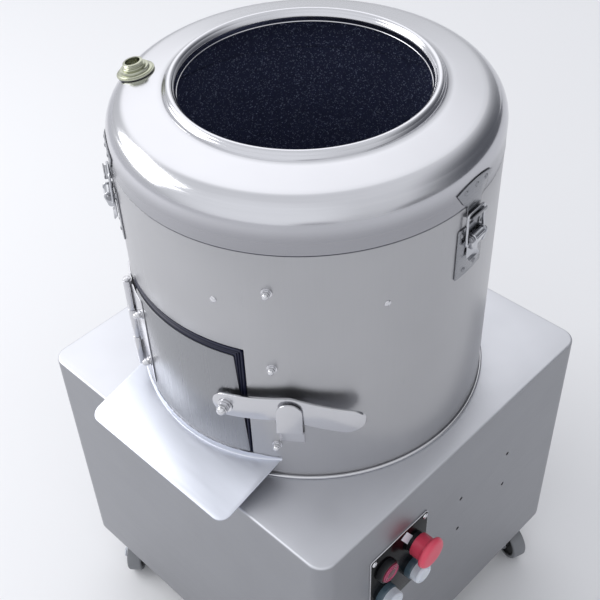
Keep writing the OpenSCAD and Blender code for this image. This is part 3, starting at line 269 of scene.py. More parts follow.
def wire(points, radius, closed=False, corner=0.0, place=None, sides=6):  # a round bar along a path
    if corner:
        path = []
        for i, p in enumerate(points):
            p = Vector(p)
            if not closed and i in (0, len(points) - 1):
                path.append(p)
                continue
            before, after = Vector(points[i - 1]) - p, Vector(points[(i + 1) % len(points)]) - p
            a, b = p + before.normalized() * corner, p + after.normalized() * corner
            path += [a.lerp(p, t).lerp(p.lerp(b, t), t) for t in (0, 0.2, 0.4, 0.6, 0.8, 1)]
        points = path
    data = bpy.data.curves.new("wire", "CURVE")
    data.dimensions, data.bevel_depth, data.bevel_resolution = "3D", radius, sides
    data.use_fill_caps = True
    spline = data.splines.new("POLY")
    spline.points.add(len(points) - 1)
    for point, p in zip(spline.points, points):
        point.co = (*p, 1)
    spline.use_cyclic_u = closed
    curve = bpy.data.objects.new("wire", data)
    scene.collection.objects.link(curve)
    bm = bmesh.new()
    mesh = curve.evaluated_get(bpy.context.evaluated_depsgraph_get()).to_mesh()
    bm.from_mesh(mesh)
    bpy.data.objects.remove(curve)
    bpy.data.curves.remove(data)
    bmesh.ops.remove_doubles(bm, verts=bm.verts[:], dist=1e-6)
    if place:
        bm.transform(place)
    return bm


def refine(node, material, width=0.0004, segments=1, name=None, sharp=32):
    source = nodes[node]
    bm = bmesh.new()
    bm.from_mesh(source.data)
    bmesh.ops.remove_doubles(bm, verts=bm.verts[:], dist=2e-6)
    bmesh.ops.dissolve_limit(bm, angle_limit=math.radians(1), verts=bm.verts[:], edges=bm.edges[:])
    bevelEdges(bm, width, segments, 40)
    bmesh.ops.triangulate(bm, faces=[f for f in bm.faces if len(f.verts) > 4])
    return keep(bm, name or node + "_fine", source["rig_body"], material, (node,), sharp, flip=False)


# materials
def brushedVector(tree, grain, size):
    # real brushing lines are about 0.1 mm apart, and these are drawn 1 to 3 mm apart so that they show
    # squeezes the pattern so that its lines run one way: "up", "flat" or "round" the Z axis
    coords = add(tree, "TexCoord").outputs["Object"]
    fine, long = 1 / size, 1 / (size * 60)
    if grain == "up":
        return add(tree, "Mapping", {"Scale": (fine, fine, long)}, {"Vector": coords}).outputs[0]
    if grain == "flat":
        return add(tree, "Mapping", {"Scale": (long, long, fine)}, {"Vector": coords}).outputs[0]
    parts = add(tree, "SeparateXYZ", links={0: coords}).outputs
    ringX = add(tree, "Math", {"operation": "MULTIPLY"}, {0: parts["X"], 1: parts["X"]})
    ringY = add(tree, "Math", {"operation": "MULTIPLY_ADD"}, {0: parts["Y"], 1: parts["Y"], 2: ringX.outputs[0]})
    radius = add(tree, "Math", {"operation": "SQRT"}, {0: ringY.outputs[0]})
    turned = add(tree, "CombineXYZ", links={"X": radius.outputs[0], "Y": parts["Z"]})
    return add(tree, "Mapping", {"Scale": (fine, fine, 1)}, {"Vector": turned.outputs[0]}).outputs[0]


def steelMaterial(name, colour, rough, grain, size=0.0014, depth=0.10, mottle=0.05, roughSpread=0.06, shadeAndDullBand=None):
    # the band says (height below, height above, colour, roughness) lower down: a painted shade and its own roughness
    material, tree = newMaterial(name)
    lines = add(tree, "TexNoise", {"Scale": 1.0, "Detail": 3.0, "Roughness": 0.65},
                {"Vector": brushedVector(tree, grain, size)})
    coords = add(tree, "TexCoord").outputs["Object"]
    clouds = add(tree, "TexNoise", {"Scale": 14.0, "Detail": 2.0, "Roughness": 0.5}, {"Vector": coords})
    tone = add(tree, "MixRGB", {"blend_type": "MIX", "Fac": 0.5}, {"Color1": lines.outputs[0],
                                                                     "Color2": clouds.outputs[0]})
    light = add(tree, "MapRange", {"From Min": 0.3, "From Max": 0.7, "To Min": 1 - mottle, "To Max": 1 + mottle},
                {"Value": tone.outputs[0]})
    base = add(tree, "VectorMath", {"operation": "SCALE", 0: srgb(colour)[:3]}, {"Scale": light.outputs[0]})
    gloss = add(tree, "MapRange", {"From Min": 0.25, "From Max": 0.75, "To Min": rough - roughSpread,
                                   "To Max": rough + roughSpread}, {"Value": lines.outputs[0]})
    if shadeAndDullBand:
        below, above, shadedColour, dullRough = shadeAndDullBand
        height = add(tree, "SeparateXYZ", links={0: coords}).outputs["Z"]
        share = add(tree, "MapRange", {"interpolation_type": "SMOOTHSTEP", "From Min": below, "From Max": above,
                                       "To Min": 0, "To Max": 1}, {"Value": height})
        # painted shade: below the band's heights the colour turns darker
        shadedTint = add(tree, "MixRGB", {"Color1": srgb(shadedColour), "Color2": srgb(colour)}, {"Fac": share.outputs[0]})
        base = add(tree, "VectorMath", {"operation": "SCALE"}, {0: shadedTint.outputs[0], "Scale": light.outputs[0]})
        extra = add(tree, "MapRange", {"From Min": 0, "From Max": 1, "To Min": dullRough - rough, "To Max": 0},
                    {"Value": share.outputs[0]})
        gloss = add(tree, "Math", {"operation": "ADD"}, {0: gloss.outputs[0], 1: extra.outputs[0]})
    bump = add(tree, "Bump", {"Strength": depth, "Distance": 0.0003}, {"Height": lines.outputs[0]})
    finishMaterial(tree, {"Metallic": 1.0}, {"Base Color": base.outputs[0], "Roughness": gloss.outputs[0],
                                             "Normal": bump.outputs[0]})
    return material


def plainMaterial(name, colour, rough, metallic=0.0, speck=0.0006, depth=0.08, shade=0.06, extra=None):
    # speck is the grain of the moulding or paint in metres, drawn coarser than the real one so that it shows
    material, tree = newMaterial(name)
    coords = add(tree, "TexCoord").outputs["Object"]
    grain = add(tree, "TexNoise", {"Scale": 1 / speck, "Detail": 2.0}, {"Vector": coords})
    clouds = add(tree, "TexNoise", {"Scale": 25.0, "Detail": 3.0}, {"Vector": coords})
    light = add(tree, "MapRange", {"From Min": 0.3, "From Max": 0.7, "To Min": 1 - shade, "To Max": 1 + shade},
                {"Value": clouds.outputs[0]})
    base = add(tree, "VectorMath", {"operation": "SCALE", 0: srgb(colour)[:3]}, {"Scale": light.outputs[0]})
    gloss = add(tree, "MapRange", {"From Min": 0.3, "From Max": 0.7, "To Min": max(rough - 0.05, 0.02),
                                   "To Max": rough + 0.05}, {"Value": clouds.outputs[0]})
    bump = add(tree, "Bump", {"Strength": depth, "Distance": 0.0003}, {"Height": grain.outputs[0]})
    finishMaterial(tree, {"Metallic": metallic, **(extra or {})},
                   {"Base Color": base.outputs[0], "Roughness": gloss.outputs[0], "Normal": bump.outputs[0]})
    return material


def gritMaterial():
    # silicon carbide grit in dark resin, rough all over, with single grains that glint: smoother, and painted lighter
    # as a painted glint
    material, tree = newMaterial("siliconCarbideGrit")
    coords = add(tree, "TexCoord").outputs["Object"]
    grains = add(tree, "TexVoronoi", {"Scale": 900.0}, {"Vector": coords})  # grains of about a millimetre
    lumps = add(tree, "TexNoise", {"Scale": 60.0, "Detail": 4.0}, {"Vector": coords})
    pick = add(tree, "SeparateColor", links={0: grains.outputs["Color"]})
    glint = add(tree, "MapRange", {"From Min": 0.86, "From Max": 0.97, "To Min": 0.0, "To Max": 1.0},
                {"Value": pick.outputs[0]})
    # painted glint: the glinting grains get a lighter colour as well as a lower roughness
    base = add(tree, "MixRGB", {"Color1": srgb("3E4567"), "Color2": srgb("A2ACCA")}, {"Fac": glint.outputs[0]})
    gloss = add(tree, "MapRange", {"From Min": 0.0, "From Max": 1.0, "To Min": 0.85, "To Max": 0.35},
                {"Value": glint.outputs[0]})
    height = add(tree, "Math", {"operation": "MULTIPLY_ADD", 1: -0.8}, {0: grains.outputs["Distance"],
                                                                         2: lumps.outputs[0]})
    bump = add(tree, "Bump", {"Strength": 0.9, "Distance": 0.0012}, {"Height": height.outputs[0]})
    finishMaterial(tree, {"Specular IOR Level": 0.6}, {"Base Color": base.outputs[0],
                                                        "Roughness": gloss.outputs[0], "Normal": bump.outputs[0]})
    return material


def siliconeMaterial():
    # moulded silicone cap: milky, slightly see-through, with soft gloss
    material, tree = newMaterial("mouldedSilicone")
    coords = add(tree, "TexCoord").outputs["Object"]
    clouds = add(tree, "TexNoise", {"Scale": 90.0, "Detail": 2.0}, {"Vector": coords})
    base = add(tree, "MixRGB", {"Color1": srgb("C4CAD4"), "Color2": srgb("E4E8EE")}, {"Fac": clouds.outputs[0]})
    bump = add(tree, "Bump", {"Strength": 0.1, "Distance": 0.0003}, {"Height": clouds.outputs[0]})
    finishMaterial(tree, {"Roughness": 0.3, "Subsurface Weight": 0.12, "Subsurface Radius": (0.002, 0.002, 0.003),
                          "Subsurface Scale": 1.0}, {"Base Color": base.outputs[0], "Normal": bump.outputs[0]})
    return material


# stainless sheet brushed upright: fine lines run up the drum and draw its highlights out
drumSteel = steelMaterial("brushedStainlessUpright", "B6B6B8", 0.33, "up", 0.0014, 0.05, 0.03)
# the same sheet painted a tone darker as painted shade, so that the door reads apart from the wall
shadedDoorSteel = steelMaterial("brushedStainlessDoor", "96979A", 0.30, "up", 0.0014, 0.05, 0.03)
# stainless sheet spun and polished: fine rings and sharp reflections; its wall is duller and painted darker as shade
lidSteel = steelMaterial("spunPolishedStainless", "CFCFD3", 0.16, "round", 0.0015, 0.02, 0.03, 0.03,
                         (0.744, 0.768, "A6A6AA", 0.26))
# satin stainless sheet: wide soft highlights; its sides are painted darker than the light top, as painted shade
housingSteel = steelMaterial("satinStainlessSheet", "D6D7DC", 0.50, "flat", 0.0016, 0.06, 0.04, 0.06,
                             (0.4125, 0.4150, "9C9DA1", 0.40))
# smooth stainless sheet: pale and even, with hardly any lines
traySteel = steelMaterial("smoothStainlessSheet", "D4D7E0", 0.42, "flat", 0.002, 0.05, 0.03)
# polished stainless strip: small bright reflections
fittingSteel = steelMaterial("polishedStainlessFitting", "CFCFD2", 0.20, "flat", 0.0015, 0.06, 0.04)
# pressed stainless strip: darker plates that still shine at their edges
latchSteel = steelMaterial("pressedStainlessLatch", "98999D", 0.26, "flat", 0.0015, 0.06, 0.04)
# drawn stainless wire: a thin bright line along each bar
wireSteel = steelMaterial("drawnStainlessWire", "C4C5C9", 0.14, "up", 0.001, 0.03, 0.03)
# turned stainless fasteners: the brightest points on the drum
boltSteel = steelMaterial("brightStainlessBolt", "DADADD", 0.16, "up", 0.001, 0.04, 0.04)
# mill-finish steel bar: dull and mottled
frameSteel = steelMaterial("millFinishSteelBar", "9A9C9E", 0.42, "flat", 0.002, 0.15, 0.08)
# ground bearing steel: fine rings and clear gloss
groundSteel = steelMaterial("groundBearingSteel", "BFBFC3", 0.22, "round", 0.001, 0.05, 0.04)
grit = gritMaterial()
# moulded nitrile rubber: near black with a blue cast, half matt
rubber = plainMaterial("mouldedBlackRubber", "191C34", 0.42)
# nickel-plated brass: a greenish grey metal with soft gloss
brass = plainMaterial("nickelBrass", "B4B6A4", 0.26, 1.0)
# gloss laminate: deep black with faint reflections
panelBlack = plainMaterial("glossBlackLaminate", "060608", 0.20, extra={"Specular IOR Level": 0.10})
# moulded polyamide: slate-blue rings with soft gloss
bezelPlastic = plainMaterial("mouldedPolyamide", "475A66", 0.24)
# moulded polyamide in black: dark, half glossy
darkPlastic = plainMaterial("mouldedBlackPolyamide", "101115", 0.35, extra={"Specular IOR Level": 0.35})
# moulded ABS in red: an even colour with a soft highlight
stopRed = plainMaterial("mouldedRedPlastic", "DC4A62", 0.34, shade=0.03)
# moulded polycarbonate lens, unlit: dark wine red and glossy
lampRed = plainMaterial("mouldedRedLens", "5E0C26", 0.18, extra={"Specular IOR Level": 0.35})
# the same lens's rings painted a rose tone where they would catch the light: a painted highlight
lensRibHighlight = plainMaterial("paintedLensRibHighlight", "C04A72", 0.20)
# anodised aluminium label: pale and matt, barely metallic
labelSilver = plainMaterial("anodisedAluminiumLabel", "E2E5EE", 0.40, 0.2)
silicone = siliconeMaterial()
# painted cast iron: dark, grainy and matt
castIron = plainMaterial("paintedCastIron", "4B4F55", 0.50, 0.0, 0.0012, 0.3)
# enamelled aluminium casting: blue-grey with a fine grain
motorPaint = plainMaterial("enamelledAluminiumCasting", "55606E", 0.40, 0.0, 0.0012, 0.2)
# zinc-plated pressing: light grey with a slight mottle
zinc = steelMaterial("zincPlatedPressing", "C9CCD2", 0.30, "flat", 0.003, 0.05, 0.06)
# thermoplastic rubber tread: mid grey and matt
tread = plainMaterial("thermoplasticRubberTread", "77797D", 0.50)
# moulded polypropylene wheel core: near black, half matt
wheelCore = plainMaterial("mouldedPolypropyleneCore", "1B1C1F", 0.45)
print("materials made")


def makeStage():
    # painted studio floor: pale grey, matt and nearly even
    floorMaterial, tree = newMaterial("paleStudioFloor")
    coords = add(tree, "TexCoord").outputs["Object"]
    clouds = add(tree, "TexNoise", {"Scale": 0.8, "Detail": 2.0}, {"Vector": coords})
    base = add(tree, "MixRGB", {"Color1": srgb("E4E4E6"), "Color2": srgb("E7E7E9")}, {"Fac": clouds.outputs[0]})
    finishMaterial(tree, {"Roughness": 0.9, "Specular IOR Level": 0.2}, {"Base Color": base.outputs[0]})
    bm = bmesh.new()
    bmesh.ops.create_grid(bm, x_segments=1, y_segments=1, size=30)
    mesh = bpy.data.meshes.new("studioFloor")
    bm.to_mesh(mesh)
    bm.free()
    mesh.materials.append(floorMaterial)
    floor = bpy.data.objects.new("studioFloor", mesh)
    scene.collection.objects.link(floor)


lamps = {
    "keyPanel": {"place": (-2.0, -1.15, 1.95), "aim": (0, 0, 0.4), "size": (1.9, 1.5), "power": 34},
}
# the studio: a pale ceiling and walls with a soft light at the back left and a dark screen on the right
studio = {
    "low": ("EEF0F4", 0.78), "high": ("F4F6FA", 0.96),
    "patches": [
        {"azimuth": 142, "elevation": 38, "inner": 8, "outer": 34, "colour": "FBFCFF", "level": 1.58},  # window
        {"azimuth": 62, "elevation": 4, "inner": 8, "outer": 58, "colour": "C8CCD8", "level": 0.22},  # screen
        {"azimuth": 285, "elevation": 26, "inner": 20, "outer": 56, "colour": "F4F6FA", "level": 1.12},  # reflector
        {"azimuth": 14, "elevation": -4, "inner": 3, "outer": 22, "colour": "D4D6DC", "level": 0.42},  # stand
        {"azimuth": 318, "elevation": -2, "inner": 3, "outer": 15, "colour": "D8D9DE", "level": 0.72},  # doorway
    ],
}


def litColour(colour, level):
    return (*[c * level for c in srgb(colour)[:3]], 1)


def addLight():
    for name, lamp in lamps.items():
        data = bpy.data.lights.new(name, "AREA")
        data.shape = "RECTANGLE"
        data.size, data.size_y = lamp["size"]
        data.energy = lamp["power"]
        item = bpy.data.objects.new(name, data)
        scene.collection.objects.link(item)
        aim = Vector(lamp["aim"]) - Vector(lamp["place"])
        item.matrix_world = moved(lamp["place"]) @ aim.to_track_quat("-Z", "Y").to_matrix().to_4x4()
    world = scene.world or bpy.data.worlds.new("studio")
    scene.world = world
    world.use_nodes = True
    tree = world.node_tree
    tree.nodes.clear()
    direction = add(tree, "TexCoord").outputs["Generated"]
    parts = add(tree, "SeparateXYZ", links={0: direction}).outputs
    rise = add(tree, "MapRange", {"From Min": -0.1, "From Max": 0.9, "To Min": 0, "To Max": 1}, {"Value": parts["Z"]})
    colour = add(tree, "MixRGB", {"Color1": litColour(*studio["low"]), "Color2": litColour(*studio["high"])},
                 {"Fac": rise.outputs[0]}).outputs[0]
    for patch in studio["patches"]:
        az, el = math.radians(patch["azimuth"]), math.radians(patch["elevation"])
        middle = (math.cos(el) * math.cos(az), math.cos(el) * math.sin(az), math.sin(el))
        near = add(tree, "VectorMath", {"operation": "DOT_PRODUCT", 1: middle}, {0: direction})
        share = add(tree, "MapRange", {"interpolation_type": "SMOOTHSTEP",
                                       "From Min": math.cos(math.radians(patch["outer"])),
                                       "From Max": math.cos(math.radians(patch["inner"])), "To Min": 0, "To Max": 1},
                    {"Value": near.outputs["Value"]})
        colour = add(tree, "MixRGB", {"Color2": litColour(patch["colour"], patch["level"])},
                     {"Fac": share.outputs[0], "Color1": colour}).outputs[0]
    light = add(tree, "Background", {"Strength": 1.0}, {"Color": colour})
    add(tree, "OutputWorld", links={"Surface": light.outputs[0]})


addCamera()
makeStage()
addLight()
print("camera, floor and light made")

deckZ, drumR = 0.415, 0.200
jointZ = deckZ + 0.314 + 0.0025  # where the lid meets its seal
doorAzimuth = -90

# lid
lid = {"wallTop": 0.755, "shoulder": 0.026, "coneTurn": 79.85, "ringR": 0.007, "ringMid": 0.133, "ringZ": 0.7875,
       "sheet": 0.0015, "lipDepth": 0.005}


def makeLid():
    outer = [(drumR, jointZ - 0.0015), (drumR + 0.0003, jointZ - 0.0008), (drumR, jointZ + 0.0002)]
    outer += [(drumR, jointZ + (lid["wallTop"] - jointZ) * i / 3) for i in (1, 2)]
    outer += arc(drumR - lid["shoulder"], lid["wallTop"], lid["shoulder"], 0, lid["coneTurn"], 22)
    coneEnd = (lid["ringMid"] + lid["ringR"] + 0.0016, lid["ringZ"] - 0.0006)
    start = outer[-1]
    outer += [(start[0] + (coneEnd[0] - start[0]) * i / 8, start[1] + (coneEnd[1] - start[1]) * i / 8)
              for i in range(1, 9)]
    outer += arc(lid["ringMid"], lid["ringZ"], lid["ringR"], 8, 180, 20)
    lip = lid["ringMid"] - lid["ringR"]
    outer += [(lip, lid["ringZ"] - lid["lipDepth"] * i / 4) for i in (1, 2, 3)]
    outer += [(lip, lid["ringZ"] - lid["lipDepth"] + 0.0008)]
    inner = []
    for i, (r, z) in enumerate(outer):
        before, after = outer[max(i - 1, 0)], outer[min(i + 1, len(outer) - 1)]
        run = Vector((after[0] - before[0], after[1] - before[1])).normalized()
        inner.append((r - run.y * lid["sheet"], z + run.x * lid["sheet"] * -1))
    shell = lathe(outer + inner[::-1], 216)
    hole = rod(0.0108, -0.012, 0.012, 32, inletPlace() @ turned(-90, "Y"))
    spigot = lathe([(0.1967, 0.721), (0.1982, 0.721), (0.1982, 0.7325), (0.1992, 0.7325), (0.1992, 0.7375),
                    (0.1967, 0.7375)], 144)
    keep(carve(shell, hole), "spunLid", "lid", lidSteel, ("lid_dome",), sharp=40)
    keep(spigot, "lidSpigot", "lid", lidSteel)
    coat = [(0.1908, 0.7176), (0.1966, 0.7216), (0.1966, 0.7378), (0.1983, 0.7390), (0.1983, lid["wallTop"])]
    coat += arc(drumR - lid["shoulder"], lid["wallTop"], lid["shoulder"] - 0.0018, 6, lid["coneTurn"] - 8, 12)
    back = [(r - 0.0005, z + (0.0004 if i < 2 else -0.0003 if i > 4 else 0)) for i, (r, z) in enumerate(coat)]
    keep(lathe(coat + back[::-1], 180), "lidGritCoat", "lid", grit, sharp=60)
    hem = arc(lip + 0.0002, lid["ringZ"] - lid["lipDepth"] + 0.0009, 0.0009, 0, 330, 11)
    keep(lathe(hem, 144), "lidMouthHem", "lid", lidSteel)
    seal = [(0.1987, 0.7291), (0.1996, 0.7291), (0.1998, 0.7295), (0.1996, 0.7299), (0.1987, 0.7299)]
    keep(lathe(seal, 180), "lidSealRing", "lid", rubber, ("lid_seal",), sharp=60)


# water inlet
inlet = {"r": 0.174, "azimuth": -147.5, "z": 0.781413, "tilt": 10.15}


def inletPlace():
    return onWall(inlet["azimuth"], inlet["r"], inlet["z"]) @ turned(inlet["tilt"], "Y")


def makeInlet():
    place = inletPlace()
    washer = lathe([(0.0106, 0.0002), (0.0190, 0.0002), (0.0193, 0.0009), (0.0189, 0.0016), (0.0106, 0.0016)], 64)
    washer.transform(place)
    keep(washer, "inletWasherRing", "lid", rubber, ("inlet_washer",))
    bore = 0.0079
    body = [(bore, 0.0016), (0.0190, 0.0016), (0.0199, 0.0021), (0.0200, 0.0027), (0.0197, 0.0033), (0.0187, 0.0035),
            (0.0186, 0.0042), (0.0180, 0.0046), (0.0155, 0.0047), (0.0154, 0.0068), (0.0149, 0.0075), (0.0128, 0.0076),
            (bore, 0.0076)]
    flange = lathe(body, 96)
    thread = [(bore, 0.0070), (0.0122, 0.0070), (0.0122, 0.0090), (0.0117, 0.0095), (0.0104, 0.0096)]
    for i in range(2):
        z = 0.0100 + i * 0.0018
        thread += [(0.0104, z), (0.0098, z + 0.0005), (0.0098, z + 0.0009), (0.0104, z + 0.0014)]
    thread += [(0.0098, 0.0136), (bore, 0.0136)]
    stem = lathe([(bore, 0.0017), (0.0103, 0.0017), (0.0103, -0.0104), (bore, -0.0104)], 48)
    lock = rod(0.0145, -0.0095, -0.0046, 6, upward)
    bevelEdges(lock, 0.0006, 2, 40)
    whole = merge(flange, lathe(thread, 64), stem, lock)
    whole.transform(place)
    keep(whole, "inletFitting", "lid", brass, ("water_inlet",), sharp=40)


# drum
drum = {"bottom": 0.390, "top": 0.729, "sheet": 0.0015, "linerR": 0.1904, "linerLow": 0.3931, "linerTop": 0.717,
        "opening": (24.908, 0.446, 0.6035)}


def wallSheet(inner, outer, low, high, opening=None, levels=3, step=2.0):
    # a tube made of thin upright strips, with a doorway where opening says (half angle, low, high)
    bm = bmesh.new()
    heights = [low + (high - low) * i / levels for i in range(levels + 1)]
    if opening:
        half, doorLow, doorHigh = opening
        heights = sorted(set([h for h in heights if abs(h - doorLow) > 0.004 and abs(h - doorHigh) > 0.004]
                             + [doorLow, doorHigh]))
    else:
        half = 45
    turn = math.radians(doorAzimuth - half)
    line = chain(bm, [(outer * math.cos(turn), outer * math.sin(turn), z) for z in heights])
    last = spinChain(bm, line, max(2, round(2 * half / step)), 2 * half)
    spinChain(bm, last, round((360 - 2 * half) / step), 360 - 2 * half)
    bmesh.ops.remove_doubles(bm, verts=bm.verts[:], dist=1e-6)
    if opening:
        middle = Vector((math.cos(math.radians(doorAzimuth)), math.sin(math.radians(doorAzimuth)), 0))
        gone = []
        for f in bm.faces:
            c = f.calc_center_median()
            flat = Vector((c.x, c.y, 0)).normalized()
            if flat.angle(middle) < math.radians(half) and doorLow < c.z < doorHigh:
                gone.append(f)
        bmesh.ops.delete(bm, geom=gone, context="FACES")
    for v in thicken(bm):
        v.co.x *= inner / outer
        v.co.y *= inner / outer
    bmesh.ops.recalc_face_normals(bm, faces=bm.faces[:])
    return bm


def makeDrum():
    shell = wallSheet(drumR - drum["sheet"], drumR, drum["bottom"], drum["top"], drum["opening"], 8, 1.5)
    bevelEdges(shell, 0.0004, 2, 60)
    keep(shell, "drumShell", "base", drumSteel, ("drum_shell",), sharp=40)
    bead = lathe([(drumR + 0.0017 + 0.002 * math.cos(a), deckZ + 0.0021 + 0.002 * math.sin(a))
                  for a in (math.radians(i * 30) for i in range(12))], 216)
    keep(bead, "drumRimWire", "base", fittingSteel)
    liner = wallSheet(drum["linerR"], drumR - drum["sheet"] - 0.0001, drum["linerLow"], drum["linerTop"],
                      drum["opening"], 60, 1.5)
    for v in liner.verts:
        flat = Vector((v.co.x, v.co.y, 0))
        if flat.length < drum["linerR"] + 0.0005:
            lump = noise.noise(v.co * 160) * 0.0007
            v.co += flat.normalized() * (lump - 0.0002)
    keep(liner, "drumAbrasiveLining", "base", grit, ("drum_liner",), sharp=50)


# base
base = {"w": 0.458, "low": 0.070, "high": 0.415, "cornerR": 0.020, "bendR": 0.0028, "sheet": 0.0015,
        "sideHoleY": (0.009, 0.101), "sideHoleZ": (0.2475, 0.3075), "sideHoleR": 0.0027, "plugHoleR": 0.0111,
        "drainR": 0.0251, "drainZ": 0.345, "glandX": 0.172, "glandZ": 0.190,
        "coverHole": (0.26, 0.02, 0.21), "coverMiddle": 0.2425, "coverScrewX": (-0.137, 0, 0.137),
        "coverScrewZ": (0.130, 0.355)}


def roundedBox(w, d, low, high, corner, bend=0.0, steps=12):
    bm = block((w, d, high - low), (0, 0, (low + high) / 2))
    upright = [e for e in bm.edges if abs(e.verts[0].co.z - e.verts[1].co.z) > 0.01]
    bmesh.ops.bevel(bm, geom=upright, offset=corner, offset_type="OFFSET", segments=steps, profile=0.5,
                    affect="EDGES", material=-1)
    if bend:
        rim = [e for e in bm.edges if all(v.co.z > high - 1e-5 for v in e.verts) and len(e.link_faces) == 2
               and e.calc_face_angle() > 0.5]
        bmesh.ops.bevel(bm, geom=rim, offset=bend, offset_type="OFFSET", segments=4, profile=0.5,
                        affect="EDGES", material=-1)
    return bm


def makeBase():
    half = base["w"] / 2
    outer = roundedBox(base["w"], base["w"], base["low"], base["high"], base["cornerR"], base["bendR"])
    inside = base["w"] - 2 * base["sheet"]
    inner = roundedBox(inside, inside, base["low"] - 0.01, base["high"] - base["sheet"],
                       base["cornerR"] - base["sheet"], base["bendR"] - base["sheet"])
    cutters = [inner, rod(drumR + 0.0001, 0.40, 0.43, 180, turned(-90, "Y"))]
    for column in (-1, 1):
        for row in (-1, 1):
            at = (0, panel["y"] + column * panel["pitch"] / 2, panel["z"] + row * panel["pitch"] / 2)
            cutters.append(rod(base["plugHoleR"], half - 0.01, half + 0.01, 32, moved(at)))
    for y in base["sideHoleY"]:
        for z in base["sideHoleZ"]:
            cutters.append(rod(base["sideHoleR"], half - 0.01, half + 0.01, 24, moved((0, y, z))))
    cutters.append(rod(base["drainR"], -half - 0.01, -half + 0.01, 48, moved((0, 0, base["drainZ"]))))
    gland = moved((base["glandX"], 0, base["glandZ"])) @ turned(90, "Z")
    cutters.append(rod(base["plugHoleR"], half - 0.01, half + 0.01, 32, gland))
    cutters.append(block(base["coverHole"], (0, half, base["coverMiddle"])))
    shell = carve(outer, *cutters)
    keep(shell, "baseHousingShell", "base", housingSteel, ("base_housing",), sharp=35)
    refine("rear_cover", housingSteel, 0.0004, 2)
    screws = [onFace("rear", x, z, 0.0015) for x in base["coverScrewX"] for z in base["coverScrewZ"]]
    keep(merge(*[screwHead(0.0042, place) for place in screws]), "rearCoverScrews", "base",
         boltSteel)


def onFace(side, along, z, out=0.0):  # local X points out of that face of the base
    half = base["w"] / 2 + out
    if side == "rear":
        return moved((along, half, z)) @ turned(90, "Z")
    return moved((half, along, z))


# fasteners
def screwHead(r, place):  # a domed head with a cross recess
    dome = [(0.0001, 0.0)] + [(r * math.cos(a), 0.0001 + r * 0.55 * math.sin(a))
                              for a in (math.radians(i * 15) for i in range(7))][:-1] + [(0.0001, r * 0.55)]
    head = lathe(dome, 28)
    head.transform(turned(90, "Y"))
    for turn in (45, 135):
        slot = block((r * 0.5, r * 1.15, r * 0.22), (r * 0.5, 0, 0))
        slot.transform(turned(turn, "X"))
        head = carve(head, slot)
    head.transform(place)
    return head


def acornNut(size, place, stem=0.0):  # washer, six flats and a dome, standing out along X
    washer = lathe([(0.0001, 0), (size * 1.25, 0), (size * 1.28, 0.0004), (size * 1.25, 0.0014), (0.0001, 0.0015)], 36)
    washer.transform(turned(90, "Y"))
    flats = rod(size, 0.0015, 0.0015 + size, 6)
    bevelEdges(flats, size * 0.10, 2, 40)
    capR = size * 0.78
    dome = lathe([(0.0001, 0), (capR, 0)] + [(capR * math.cos(a), size * 0.12 + capR * math.sin(a))
                                             for a in (math.radians(i * 10) for i in range(9))]
                 + [(0.0001, size * 0.12 + capR)], 32)
    dome.transform(moved((0.0015 + size * 0.9, 0, 0)) @ turned(90, "Y"))
    parts = [washer, flats, dome]
    if stem:
        parts.append(rod(size * 0.52, -stem, 0.001, 24))
        parts.append(rod(size * 0.95, -stem - 0.003, -stem, 32, bevel=0.0008))
    whole = merge(*parts)
    whole.transform(place)
    return whole


def rivets(places, r):  # low round heads
    parts = []
    for place in places:
        head = lathe([(0.0001, 0), (r, 0), (r * 0.96, r * 0.18), (r * 0.75, r * 0.36), (r * 0.4, r * 0.46),
                      (0.0001, r * 0.5)], 24)
        head.transform(place @ outward)
        parts.append(head)
    return merge(*parts)


outward = turned(90, "Y")   # turns a lathe's Z to local X
upward = turned(-90, "Y")   # turns a rod's X to local Z
sideways = turned(-90, "X")  # turns a lathe's Z to local Y


def wallShape(azimuth, r):  # bends a flat sheet to the drum: u along the wall, v up, w outward
    def shape(u, v, w):
        turn = math.radians(azimuth) + u / r
        return Vector(((r + w) * math.cos(turn), (r + w) * math.sin(turn), v))
    return shape


def sidePlate(outline, low, high, place, bevel=0.0004):  # an outline in (out, up) with its thickness along the wall
    return sheet(outline, high - low, lambda u, v, w: place @ Vector((u, low + w, v)), bevel=bevel)


# discharge door
door = {"half": 21.9, "footHalf": 24.23, "low": 0.449, "high": 0.593, "t": 0.002, "cornerR": 0.002,
        "hingeAz": -118.5, "pinR": 0.2065, "hingeLow": 0.461, "hingeLen": 0.126, "knuckleR": 0.005, "leafT": 0.002,
        "bodyBoltAz": -124, "doorBoltAz": -109.2, "boltZ": (0.491, 0.563), "boltNut": 0.0045,
        "gasketHalf": 24.33, "gasketLow": 0.448, "gasketHigh": 0.6015, "gasketRound": 0.004, "gasketBack": -0.0058}
# the gasket's ribs from its edge inwards: how far in and how far up each step goes
gasketSteps = ((0.0, 0.0), (0.0005, 0.0009), (0.0008, 0.0004), (0.0008, -0.0010), (0.0004, -0.0016),
               (0.0006, 0.0), (0.0004, 0.0016), (0.0008, 0.0009), (0.0008, -0.0009), (0.0004, -0.0016),
               (0.0006, 0.0), (0.0004, 0.0016), (0.0008, 0.0004), (0.0028, 0.0))


